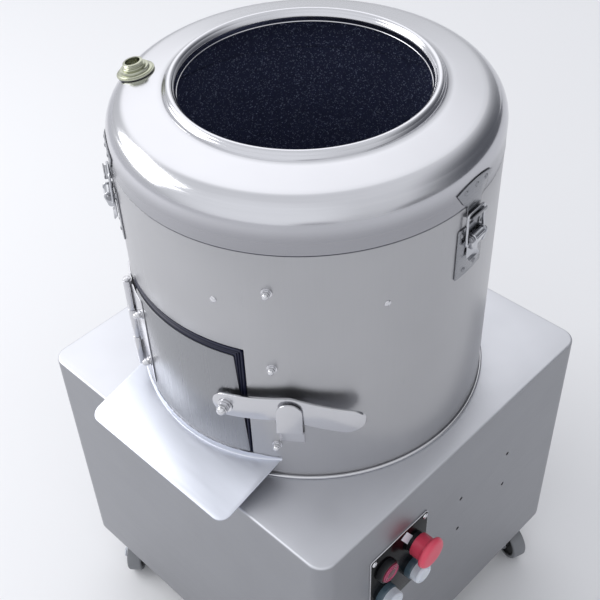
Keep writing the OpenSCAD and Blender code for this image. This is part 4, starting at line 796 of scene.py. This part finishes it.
def makeDoor():
    half = math.radians(door["half"]) * drumR
    foot = math.radians(door["footHalf"]) * drumR
    outline = [(-half, door["low"]), (foot, door["low"]), (half, door["high"]), (-half, door["high"])]
    plate = sheet(outline, door["t"], wallShape(doorAzimuth, drumR), (0.004, 0), door["cornerR"], 4, 0.0005)
    keep(plate, "doorPlate", "door", shadedDoorSteel, ("discharge_door",), sharp=40)
    refine("door_liner", grit, 0.0006)

    bm = bmesh.new()
    reach = math.radians(door["gasketHalf"]) * drumR
    low, high, inward, level, rings = door["gasketLow"], door["gasketHigh"], 0.0, -0.0007, []
    for width, rise in gasketSteps:
        inward += width
        level += rise
        r = max(door["gasketRound"] - inward, 0.0006)
        left, right, foot, head = -reach + inward + r, reach - inward - r, low + inward + r, high - inward - r
        ring = arc(right, foot, r, 270, 360, 5) + arc(right, head, r, 0, 90, 5)
        ring += arc(left, head, r, 90, 180, 5) + arc(left, foot, r, 180, 270, 5)
        rings.append([bm.verts.new((u, v, level)) for u, v in ring])
    for outer, inner in zip(rings, rings[1:]):  # ribs one inside the other, all round
        for i in range(len(outer)):
            j = (i + 1) % len(outer)
            bm.faces.new((outer[i], outer[j], inner[j], inner[i]))
    for i in range(1, 44):
        cutAcross(bm, 0, -reach + 2 * reach * i / 44)
    for v in thicken(bm):
        v.co.z = door["gasketBack"]
    shape = wallShape(doorAzimuth, drumR)
    for v in bm.verts:
        v.co = shape(*v.co)
    keep(bm, "doorGasketRibbed", "door", rubber, ("door_gasket",), sharp=50)

    pin = onWall(door["hingeAz"], door["pinR"], door["hingeLow"])
    third = door["hingeLen"] / 3
    gap = 0.0003

    def leaf(azLow, azHigh, r, thick):
        half = math.radians(azHigh - azLow) / 2 * r
        top = door["hingeLow"] + door["hingeLen"]
        outline = [(-half, door["hingeLow"]), (half, door["hingeLow"]), (half, top), (-half, top)]
        return sheet(outline, thick, wallShape((azLow + azHigh) / 2, r), (0.004, 0), 0.0022, 4, 0.0004)

    def knuckle(low, high, tongueX, side):
        reach = 0.0092
        barrel = rod(door["knuckleR"], low, high, 36, pin @ upward, bevel=0.0005)
        tongue = block((door["leafT"], reach, high - low), (tongueX + 0.001, side * reach / 2, (low + high) / 2),
                       0.0003, pin, 2)
        return merge(barrel, tongue)

    bodyLeaf = merge(leaf(-127.5, -120.5, 0.2001, door["leafT"]), knuckle(0, third - gap, -0.0055, -1),
                     knuckle(2 * third + gap, 3 * third, -0.0055, -1),
                     rod(0.0025, -0.003, 3 * third + 0.003, 24, pin @ upward, bevel=0.0005),
                     rod(0.0042, 3 * third + 0.0002, 3 * third + 0.0028, 28, pin @ upward, bevel=0.0010),
                     rod(0.0034, -0.0028, -0.0002, 28, pin @ upward, bevel=0.0008))
    keep(bodyLeaf, "hingeWallLeaf", "base", fittingSteel, ("hinge_body_leaf",), sharp=40)
    doorLeaf = merge(leaf(-116.5, -107.2, 0.2021, 0.0012), knuckle(third + gap, 2 * third - gap, -0.0042, 1))
    keep(doorLeaf, "hingeDoorLeaf", "door", fittingSteel, ("hinge_door_leaf",), sharp=40)

    nuts = [acornNut(door["boltNut"], onWall(door["doorBoltAz"], 0.2033, z), 0.0118) for z in door["boltZ"]]
    pivot = onWall(lever["az"], 0.0, lever["z"])
    spacer = rod(0.0085, 0.2021, 0.2057, 40, pivot, bevel=0.0004)
    washer = rod(0.0100, 0.2057, 0.2060, 40, pivot, bevel=0.0001)
    bolt = rod(0.0049, 0.1880, 0.2100, 32, pivot)
    head = rod(0.0089, 0.1852, 0.1899, 36, pivot, bevel=0.0012)
    nuts += [acornNut(lever["nut"], pivot @ moved((0.2093, 0, 0))), spacer, washer, bolt, head]
    keep(merge(*nuts), "doorBoltsAndNuts", "door", boltSteel, ("door_bolts",), sharp=40)
    print("door made")


# door lever
lever = {"az": -71.3, "z": 0.524, "inner": 0.206, "t": 0.003, "curveR": 0.250, "halfW": 0.0155,
         "knee": (0.068, 0.013), "end": (0.123, -0.004), "nut": 0.0066}


def makeLever():
    place = onWall(lever["az"], 0.0, lever["z"])
    centre = lever["inner"] - lever["curveR"]
    r = lever["halfW"]
    (kx, ky), (ex, ey) = lever["knee"], lever["end"]
    rise, fall = math.degrees(math.atan2(ky, kx)), math.degrees(math.atan2(ey - ky, ex - kx))
    middle = math.radians((rise + fall) / 2)
    inside = r / math.cos(math.radians((rise - fall) / 2))
    outline = [(kx + inside * math.sin(middle), ky - inside * math.cos(middle))]
    outline += arc(ex, ey, r, fall - 90, fall + 90, 20)
    outline += arc(kx, ky, r, fall + 90, rise + 90, 5)
    outline += arc(0, 0, r, rise + 90, rise + 270, 20)

    def shape(u, v, w):
        out = centre + math.sqrt((lever["curveR"] + w) ** 2 - u * u)
        return place @ Vector((out, u, v))

    bar = sheet(outline, lever["t"], shape, (0.004, 0), bevel=0.0007)
    keep(bar, "doorLeverBar", "lever", fittingSteel, ("door_lever",), sharp=40)
    refine("lever_keeper", fittingSteel, 0.0006, 2, "leverKeeperStrap")


# tray
tray = {"halfW": 0.1125, "front": -0.2575, "rise": 0.28, "low": 0.418, "t": 0.0015, "cornerR": 0.014,
        "arcR": 0.2001, "lip": 0.006, "lipTop": 0.4468, "lipBend": 0.0028}


def makeTray():
    def top(y):
        return tray["low"] + tray["rise"] * (y - tray["front"])

    r, half = tray["arcR"], tray["halfW"]
    turn = math.degrees(math.asin(half / r))
    outline = arc(-half + tray["cornerR"], tray["front"] + tray["cornerR"], tray["cornerR"], 180, 270, 10)
    outline += arc(half - tray["cornerR"], tray["front"] + tray["cornerR"], tray["cornerR"], 270, 360, 10)
    outline += arc(0, 0, r, -90 + turn, -90 - turn, 60)
    plate = sheet(outline, tray["t"], lambda u, v, w: Vector((u, v, top(v) + w)), bevel=0.0005)

    steps, bend = 72, tray["lipBend"]
    profile = []  # a small turned-up flange that stands against the drum
    for i in range(7):
        a = math.radians(90 * i / 6)
        profile.append((bend - bend * math.sin(a), bend - bend * math.cos(a)))
    profile.append((0.0, tray["lip"]))
    bm = bmesh.new()
    line = chain(bm, [(0, -r - u, v) for u, v in profile])
    bmesh.ops.rotate(bm, verts=bm.verts[:], cent=(0, 0, 0),
                     matrix=Matrix.Rotation(-math.radians(turn), 3, "Z"))
    spinChain(bm, line, steps, 2 * turn)
    bmesh.ops.recalc_face_normals(bm, faces=bm.faces[:])
    for v in bm.verts:  # the flange gets lower towards its ends, under the door's swing
        foot = top(v.co.y) + tray["t"] * 0.98
        v.co.z = foot + v.co.z * min(1, (tray["lipTop"] - foot) / tray["lip"])
    for v in thicken(bm):
        flat = Vector((v.co.x, v.co.y, 0))
        lift = min((flat.length - r) / bend, 1.0)
        v.co -= flat.normalized() * -0.0012 * (1 - lift) + Vector((0, 0, 0.0006 * lift))
    bevelEdges(bm, 0.0002, 2, 60)
    keep(merge(plate, bm), "trayPlate", "base", traySteel, ("discharge_tray",), sharp=45)
    print("lever and tray made")


# latches
latch = {"azimuths": (4.5, 120.75, 237.0), "pivot": (0.0075, 0.694), "loopPin": (0.0046, 0.688),
         "plate": (0.022, 0.645, 0.706), "earIn": 0.0100, "earOut": 0.0115, "leverHalf": 0.0095,
         "loopY": 0.014, "loopR": 0.0014, "bar": (0.00365, 0.7213), "hookLow": 0.717, "hookHalf": 0.0115,
         "strikeHalf": 0.0285, "cornerZ": 0.750, "strikeTop": 0.7565, "t": 0.0015}


def ear(x, z, r, back):  # a lug standing out from the plate, round at its end
    return [(back, z - r), (x, z - r)] + arc(x, z, r, -90, 90, 12) + [(back, z + r)]


def bothSides(low, high):  # the same stretch on each side of the latch's middle
    return (low, high), (-high, -low)


def makeLatchPlate(azimuth, place):
    half, low, high = latch["plate"]
    x, z = latch["pivot"]
    outline = [(-half, low), (half, low), (half, high), (-half, high)]
    parts = [sheet(outline, latch["t"], wallShape(azimuth, drumR + 0.0001), (0.004, 0), 0.0025, 4, 0.0005)]
    across = place @ moved((x, 0, z)) @ turned(90, "Z")
    for first, last in bothSides(latch["earIn"], latch["earOut"]):
        parts.append(sidePlate(ear(x, z, 0.0038, 0.0010), first, last, place))
    for first, last in bothSides(latch["earOut"], latch["earOut"] + 0.0011):
        parts.append(rod(0.0029, first, last, 24, across, bevel=0.0005))
    parts.append(rod(0.0019, -latch["earOut"], latch["earOut"], 24, across))
    spots = [(-0.009, 0.6520), (0.009, 0.6520), (-0.0165, 0.6985), (0.0165, 0.6985)]
    parts.append(rivets([onWall(azimuth + math.degrees(u / drumR), drumR + 0.0015, v) for u, v in spots], 0.0026))
    return parts


def makeLatchLever(place):
    x, z = latch["pivot"]
    half = latch["leverHalf"]
    cheek = arc(x, z, 0.0054, 0, 180, 16) + arc(x - 0.0013, z - 0.009, 0.0040, 180, 360, 14)
    parts = [sidePlate(cheek, first, last, place, 0.0005) for first, last in bothSides(half - latch["t"], half)]
    bridge = [(x + 0.0050, z + 0.0010), (x + 0.0024, z - 0.0080), (x + 0.0011, z - 0.0080), (x + 0.0036, z + 0.0010)]
    parts.append(sidePlate(bridge, -half + 0.0004, half - 0.0004, place, 0.0003))
    grip = [(x - 0.0052, z - 0.0085), (x - 0.0037, z - 0.0085), (x - 0.0037, z - 0.0240), (x - 0.0032, z - 0.0258),
            (x - 0.0007, z - 0.0285), (x - 0.0017, z - 0.0295), (x - 0.0044, z - 0.0265), (x - 0.0052, z - 0.0243)]
    parts.append(sidePlate(grip, -half, half, place, 0.0005))
    across = place @ moved((x, 0, z)) @ turned(90, "Z")
    reach = half - 0.0016
    barrel = lathe([(0.0021, -reach), (0.0040, -reach), (0.0040, reach), (0.0021, reach)], 36)
    barrel.transform(across @ outward)
    return parts + [barrel]


def makeLatchLoop(place):
    x, z = latch["loopPin"]
    barX, barZ = latch["bar"]
    y = latch["loopY"]
    path = [(x, -y, z), (x - 0.0003, -y, z + 0.012), (barX, -y, barZ), (barX, y, barZ), (x - 0.0003, y, z + 0.012),
            (x, y, z)]
    across = place @ moved((x, 0, z)) @ turned(90, "Z")
    parts = [wire(path, latch["loopR"], corner=0.0040, place=place, sides=5), rod(0.0017, -y, y, 20, across)]
    for first, last in bothSides(y - 0.0010, y + 0.0010):
        parts.append(rod(0.0025, first, last, 24, across, bevel=0.0004))
    return parts


def makeLatchStrike(azimuth, place):
    half, corner, top = latch["strikeHalf"], latch["cornerZ"], latch["strikeTop"]
    hook, low = latch["hookHalf"], latch["hookLow"]
    rise = top - corner
    r = (half * half + rise * rise) / (2 * rise)
    side = math.degrees(math.atan2(corner - top + r, half))
    outline = [(-0.018, 0.735), (-hook, 0.7295), (-hook, low), (hook, low), (hook, 0.7295), (0.018, 0.735)]
    outline += arc(0, top - r, r, side, 180 - side, 18)
    parts = [sheet(outline, latch["t"], wallShape(azimuth, drumR + 0.0003), (0.004, 0), bevel=0.0005)]
    bent = [(0.0010, low), (0.0079, low), (0.0084, low + 0.0003), (0.0086, low + 0.0009), (0.0086, low + 0.0038),
            (0.0081, low + 0.0040), (0.0075, low + 0.0040), (0.0073, low + 0.0036), (0.0073, low + 0.0017),
            (0.0071, low + 0.0015), (0.0010, low + 0.0015)]
    parts.append(sidePlate(bent, -hook, hook, place, 0.0003))
    spots = [(-0.0165, 0.7485), (0, 0.7495), (0.0165, 0.7485)]
    parts.append(rivets([onWall(azimuth + math.degrees(u / drumR), drumR + 0.0018, v) for u, v in spots], 0.0026))
    return parts


def makeLatches():
    plates, strikes = [], []
    for i, azimuth in enumerate(latch["azimuths"], 1):
        place = onWall(azimuth, drumR, 0)
        plates += makeLatchPlate(azimuth, place)
        strikes += makeLatchStrike(azimuth, place)
        for kind, parts in (("Lever", makeLatchLever(place)), ("Loop", makeLatchLoop(place))):
            node = f"latch_{kind.lower()}_{i}"
            keep(merge(*parts), f"latch{kind}{i}", node, wireSteel, (node,), sharp=40)
    keep(merge(*plates), "latchPlatesAndPins", "base", latchSteel, ("latch_plates",), sharp=40)
    keep(merge(*strikes), "latchStrikesOnLid", "lid", latchSteel, ("latch_strikes",), sharp=40)
    print("latches made")


# bolts on the drum
wallBolt = {"stripAz": -57, "stripZ": (0.469, 0.585, 0.685), "nut": 0.0043,
            "flush": ((-72.8, 0.6620), (-24.5, 0.658))}


def makeWallBolts():
    nuts = [acornNut(wallBolt["nut"], onWall(wallBolt["stripAz"], drumR, z), 0.0150) for z in wallBolt["stripZ"]]
    nuts += [acornNut(wallBolt["nut"], onWall(door["bodyBoltAz"], 0.2022, z), 0.0122) for z in door["boltZ"]]
    keep(merge(*nuts), "wallBoltsAndNuts", "base", boltSteel, ("wall_bolts",), sharp=40)
    flush = rivets([onWall(azimuth, drumR - 0.0001, z) for azimuth, z in wallBolt["flush"]], 0.0036)
    keep(flush, "drumFlushRivets", "base", boltSteel)
    refine("liner_strip", drumSteel, 0.0005)


# controls
panel = {"y": -0.107, "z": 0.297, "w": 0.098, "h": 0.118, "back": 0.229, "front": 0.231, "pitch": 0.050,
         "screwInset": 0.006, "cornerR": 0.004,
         "legend": ((-0.1059, 0.3485), (-0.0880, 0.3170), (-0.0795, 0.3260), (-0.0958, 0.3530))}


def controlPlace(column, row):
    return moved((panel["front"], panel["y"] + column * panel["pitch"] / 2,
                               panel["z"] + row * panel["pitch"] / 2)) @ outward


def cap(profile, place, steps=64):
    bm = lathe(profile, steps)
    bm.transform(place)
    return bm


def facePlate(w, h, low, high, corner, y, z, bevel):
    outline = []
    for sy, sz, first in ((1, 1, 0), (-1, 1, 90), (-1, -1, 180), (1, -1, 270)):
        outline += arc(sy * (w / 2 - corner), sz * (h / 2 - corner), corner, first, first + 90, 6)
    return sheet(outline, high - low, lambda u, v, t: Vector((low + t, y + u, z + v)), bevel=bevel)


def makeControls():
    y, z, w, h = panel["y"], panel["z"], panel["w"], panel["h"]
    backing = facePlate(w, h, panel["back"], panel["front"] - 0.0004, panel["cornerR"], y, z, 0.0004)
    keep(backing, "panelBacking", "base", fittingSteel, ("control_panel",))
    face = facePlate(w - 0.0022, h - 0.0022, panel["front"] - 0.0006, panel["front"], panel["cornerR"] - 0.001, y, z,
                     0.0002)
    keep(face, "panelFace", "base", panelBlack)
    screws = [screwHead(0.0038, moved((panel["front"], y + sy * (w / 2 - panel["screwInset"]),
                                                    z + sz * (h / 2 - panel["screwInset"]))))
              for sy in (-1, 1) for sz in (-1, 1)]
    keep(merge(*screws), "panelScrewHeads", "base", boltSteel, ("panel_screws",), sharp=40)
    legend = sheet(panel["legend"], 0.0007, lambda u, v, t: Vector((panel["front"] + t, u, v)), bevel=0.0002)
    keep(legend, "stopLegendPlate", "base", labelSilver)

    bore, barrel = 0.00805, 0.011
    ring = [(bore, -0.016), (barrel, -0.016), (barrel, 0.0001), (0.0150, 0.0001), (0.0150, 0.0060),
            (0.0147, 0.0072), (0.0142, 0.0079), (0.0138, 0.0080), (0.0136, 0.0076), (0.0136, 0.0025), (bore, 0.0025)]
    collar = [(bore, -0.016), (barrel, -0.016), (barrel, 0.0001), (0.0134, 0.0001), (0.0134, 0.0088),
              (0.0128, 0.0095), (bore, 0.0095)]
    nut = [(0.0111, -0.0086), (0.0150, -0.0086), (0.0150, -0.0037), (0.0111, -0.0037)]
    bezels = [cap(ring, controlPlace(column, -1), 72) for column in (-1, 1)]
    bezels += [cap(nut, controlPlace(column, row), 6) for column in (-1, 1) for row in (-1, 1)]
    keep(merge(*bezels), "controlBezelRings", "base", bezelPlastic, ("control_bezels",), sharp=35)
    dark = [cap(ring, controlPlace(-1, 1), 72), cap(collar, controlPlace(1, 1), 72)]
    keep(merge(*dark), "lampBezelAndStopCollar", "base", darkPlastic, ("control_bezels",), sharp=35)

    button = [(0.0001, -0.010), (0.008, -0.010), (0.008, 0.006), (0.0133, 0.006)]
    for i in range(4):  # soft ribs round the cap
        at = 0.0086 + i * 0.0019
        button += [(0.0133, at), (0.0120, at + 0.0007), (0.0133, at + 0.0013)]
    button += [(0.0132, 0.0160), (0.0129, 0.0170), (0.0122, 0.0180), (0.0112, 0.0187), (0.0104, 0.0189),
               (0.0098, 0.0183), (0.0090, 0.0181), (0.0086, 0.0187), (0.0050, 0.0190), (0.0001, 0.0190)]
    for name, body, column in (("startButtonCap", "start_button", 1), ("stopButtonCap", "stop_button", -1)):
        keep(cap(button, controlPlace(column, -1), 80), name, body, silicone, (body,), sharp=45)

    lens = [(0.0001, -0.010), (0.008, -0.010), (0.008, 0.0027), (0.0133, 0.0027), (0.0133, 0.0078), (0.0129, 0.0084)]
    lens += [(0.0118, 0.0089), (0.0090, 0.0095), (0.0050, 0.0099), (0.0001, 0.0100)]
    # the lens's raised rings, coloured rose as a painted highlight
    ribs = [cap(arc(r, 0.0103 - r * 0.10, 0.00042, 0, 330, 11), controlPlace(-1, 1), 72)
            for r in (0.0114, 0.0092, 0.0070)]
    keep(merge(*ribs), "pilotLampRibHighlights", "base", lensRibHighlight)
    keep(cap(lens, controlPlace(-1, 1), 80), "pilotLampLens", "base", lampRed, ("lamp_lens",), sharp=50)

    head = [(0.0001, -0.010), (0.008, -0.010), (0.008, 0.0148), (0.0137, 0.0148), (0.0137, 0.0056), (0.0145, 0.0056),
            (0.0150, 0.0062), (0.0150, 0.0196), (0.0156, 0.0206), (0.0185, 0.0210), (0.0196, 0.0217),
            (0.0200, 0.0230), (0.0199, 0.0247), (0.0192, 0.0264), (0.0178, 0.0278), (0.0156, 0.0286),
            (0.0120, 0.0290), (0.0060, 0.0290), (0.0001, 0.0290)]
    keep(cap(head, controlPlace(1, 1), 96), "stopMushroomHead", "estop", stopRed, ("estop_head",),
         sharp=50)
    refine("contact_blocks", darkPlastic, 0.0008, 2)
    print("controls made")


# castors
castor = {"places": ((-1, -1, -50), (1, -1, -45), (1, 1, -20), (-1, 1, -120)), "inset": 0.188, "trail": 0.028,
          "wheelR": 0.025, "half": 0.010}


def makeCastors():
    half = castor["half"]
    tyre = [(0.0203, -half + 0.0002), (0.0236, -half + 0.0002), (0.0246, -half + 0.0014)]
    tyre += [(0.0246 + 0.0004 * math.cos(math.radians(a)), half * 0.86 * math.sin(math.radians(a)))
             for a in range(-75, 76, 15)]
    tyre += [(0.0246, half - 0.0014), (0.0236, half - 0.0002), (0.0203, half - 0.0002)]
    core = [(0.0041, -half), (0.0078, -half), (0.0082, -half + 0.0005), (0.0084, -0.0062), (0.0100, -0.0060),
            (0.0165, -0.0060), (0.0178, -0.0066), (0.0184, -half + 0.0012), (0.0190, -half + 0.0006),
            (0.0205, -half + 0.0006)]
    core += [(r, -z) for r, z in reversed(core)]
    for i, (sx, sy, turn) in enumerate(castor["places"], 1):
        corner = moved((sx * castor["inset"], sy * castor["inset"], 0)) @ turned(turn, "Z")
        place = corner @ moved((castor["trail"], 0, castor["wheelR"])) @ sideways
        keep(cap(tyre, place, 96), f"castorTread{i}", f"castor_wheel_{i}", tread,
             (f"castor_wheel_{i}",), sharp=40)
        keep(cap(core, place, 72), f"castorCore{i}", f"castor_wheel_{i}", wheelCore, sharp=40)
        refine(f"castor_fork_{i}", zinc, 0.0005, 2, f"castorFork{i}", 40)
    refine("castor_plates", zinc, 0.0006, 2, "castorTopPlates", 40)
    print("castors made")


# disc
disc = {"r": 0.1864, "low": 0.419, "top": 0.430, "wave": 0.009, "waveR": 0.040, "waveInner": 0.042, "hub": 0.0265,
        "bore": 0.0127}


def makeDisc():
    rings, inner = 46, disc["bore"]
    profile = [(inner, disc["low"]), (disc["r"] - 0.001, disc["low"]), (disc["r"], disc["low"] + 0.001),
               (disc["r"], disc["top"] - 0.002), (disc["r"] - 0.002, disc["top"])]
    profile += [(disc["r"] - 0.002 + (inner - disc["r"] + 0.002) * i / rings, disc["top"]) for i in range(1, rings + 1)]
    bm = lathe(profile, 240)
    for v in bm.verts:
        flat = Vector((v.co.x, v.co.y, 0))
        if v.co.z < disc["top"] - 0.0005 or flat.length < inner + 0.001:
            continue
        lift = 0
        for i in range(3):
            turn = math.radians(i * 120)
            along = flat.x * math.cos(turn) + flat.y * math.sin(turn)
            across = -flat.x * math.sin(turn) + flat.y * math.cos(turn)
            if along < 0 or abs(across) > 0.03:
                continue
            crest = disc["wave"] - disc["waveR"] + math.sqrt(disc["waveR"] ** 2 - across * across)
            start = min(max((along - disc["waveInner"]) / 0.010, 0), 1)
            finish = min(max((disc["r"] - 0.002 - flat.length) / 0.012, 0), 1)
            lift = max(lift, crest * min(start, finish))
        v.co.z += lift + noise.noise(v.co * 150) * 0.0006 - 0.0003
    parts = [bm, cap([(inner, 0.402), (disc["hub"], 0.402), (disc["hub"], disc["low"] + 0.001),
                      (inner, disc["low"] + 0.001)], Matrix.Identity(4), 72)]
    for turn in (30, 210):
        length = disc["r"] - disc["hub"] - 0.010
        parts.append(block((length, 0.005, 0.013), (disc["hub"] - 0.002 + length / 2, 0, disc["low"] - 0.0055), 0.0006,
                           turned(turn, "Z")))
    keep(merge(*parts), "abrasiveDiscFine", "disc", grit, ("abrasive_disc",), sharp=50)
    refine("disc_nut", boltSteel, 0.0006, 2)
    refine("drive_shaft", groundSteel, 0.0008, 2)
    print("disc made")


hidden = {
    "base_frame": (frameSteel, 0.0012), "chamber_floor": (drumSteel, 0.0004), "bearing_housing": (castIron, 0.0010),
    "shaft_bearings": (groundSteel, 0.0006), "shaft_seal": (rubber, 0.0005), "drain_pipe": (fittingSteel, 0.0005),
    "cable_gland": (darkPlastic, 0.0007), "motor_body": (motorPaint, 0.0010), "motor_plate": (frameSteel, 0.0008),
    "v_belt": (rubber, 0.0008), "driven_pulley": (castIron, 0.0007), "motor_pulley": (castIron, 0.0007),
    "motor_shaft": (groundSteel, 0.0006),
}

makeLid()
makeInlet()
makeDrum()
print("lid and drum made")
makeBase()
makeDoor()
makeLever()
makeTray()
makeLatches()
makeWallBolts()
makeControls()
makeCastors()
makeDisc()
for name, (finish, width) in hidden.items():
    refine(name, finish, width, 2)
print("inner pieces made")
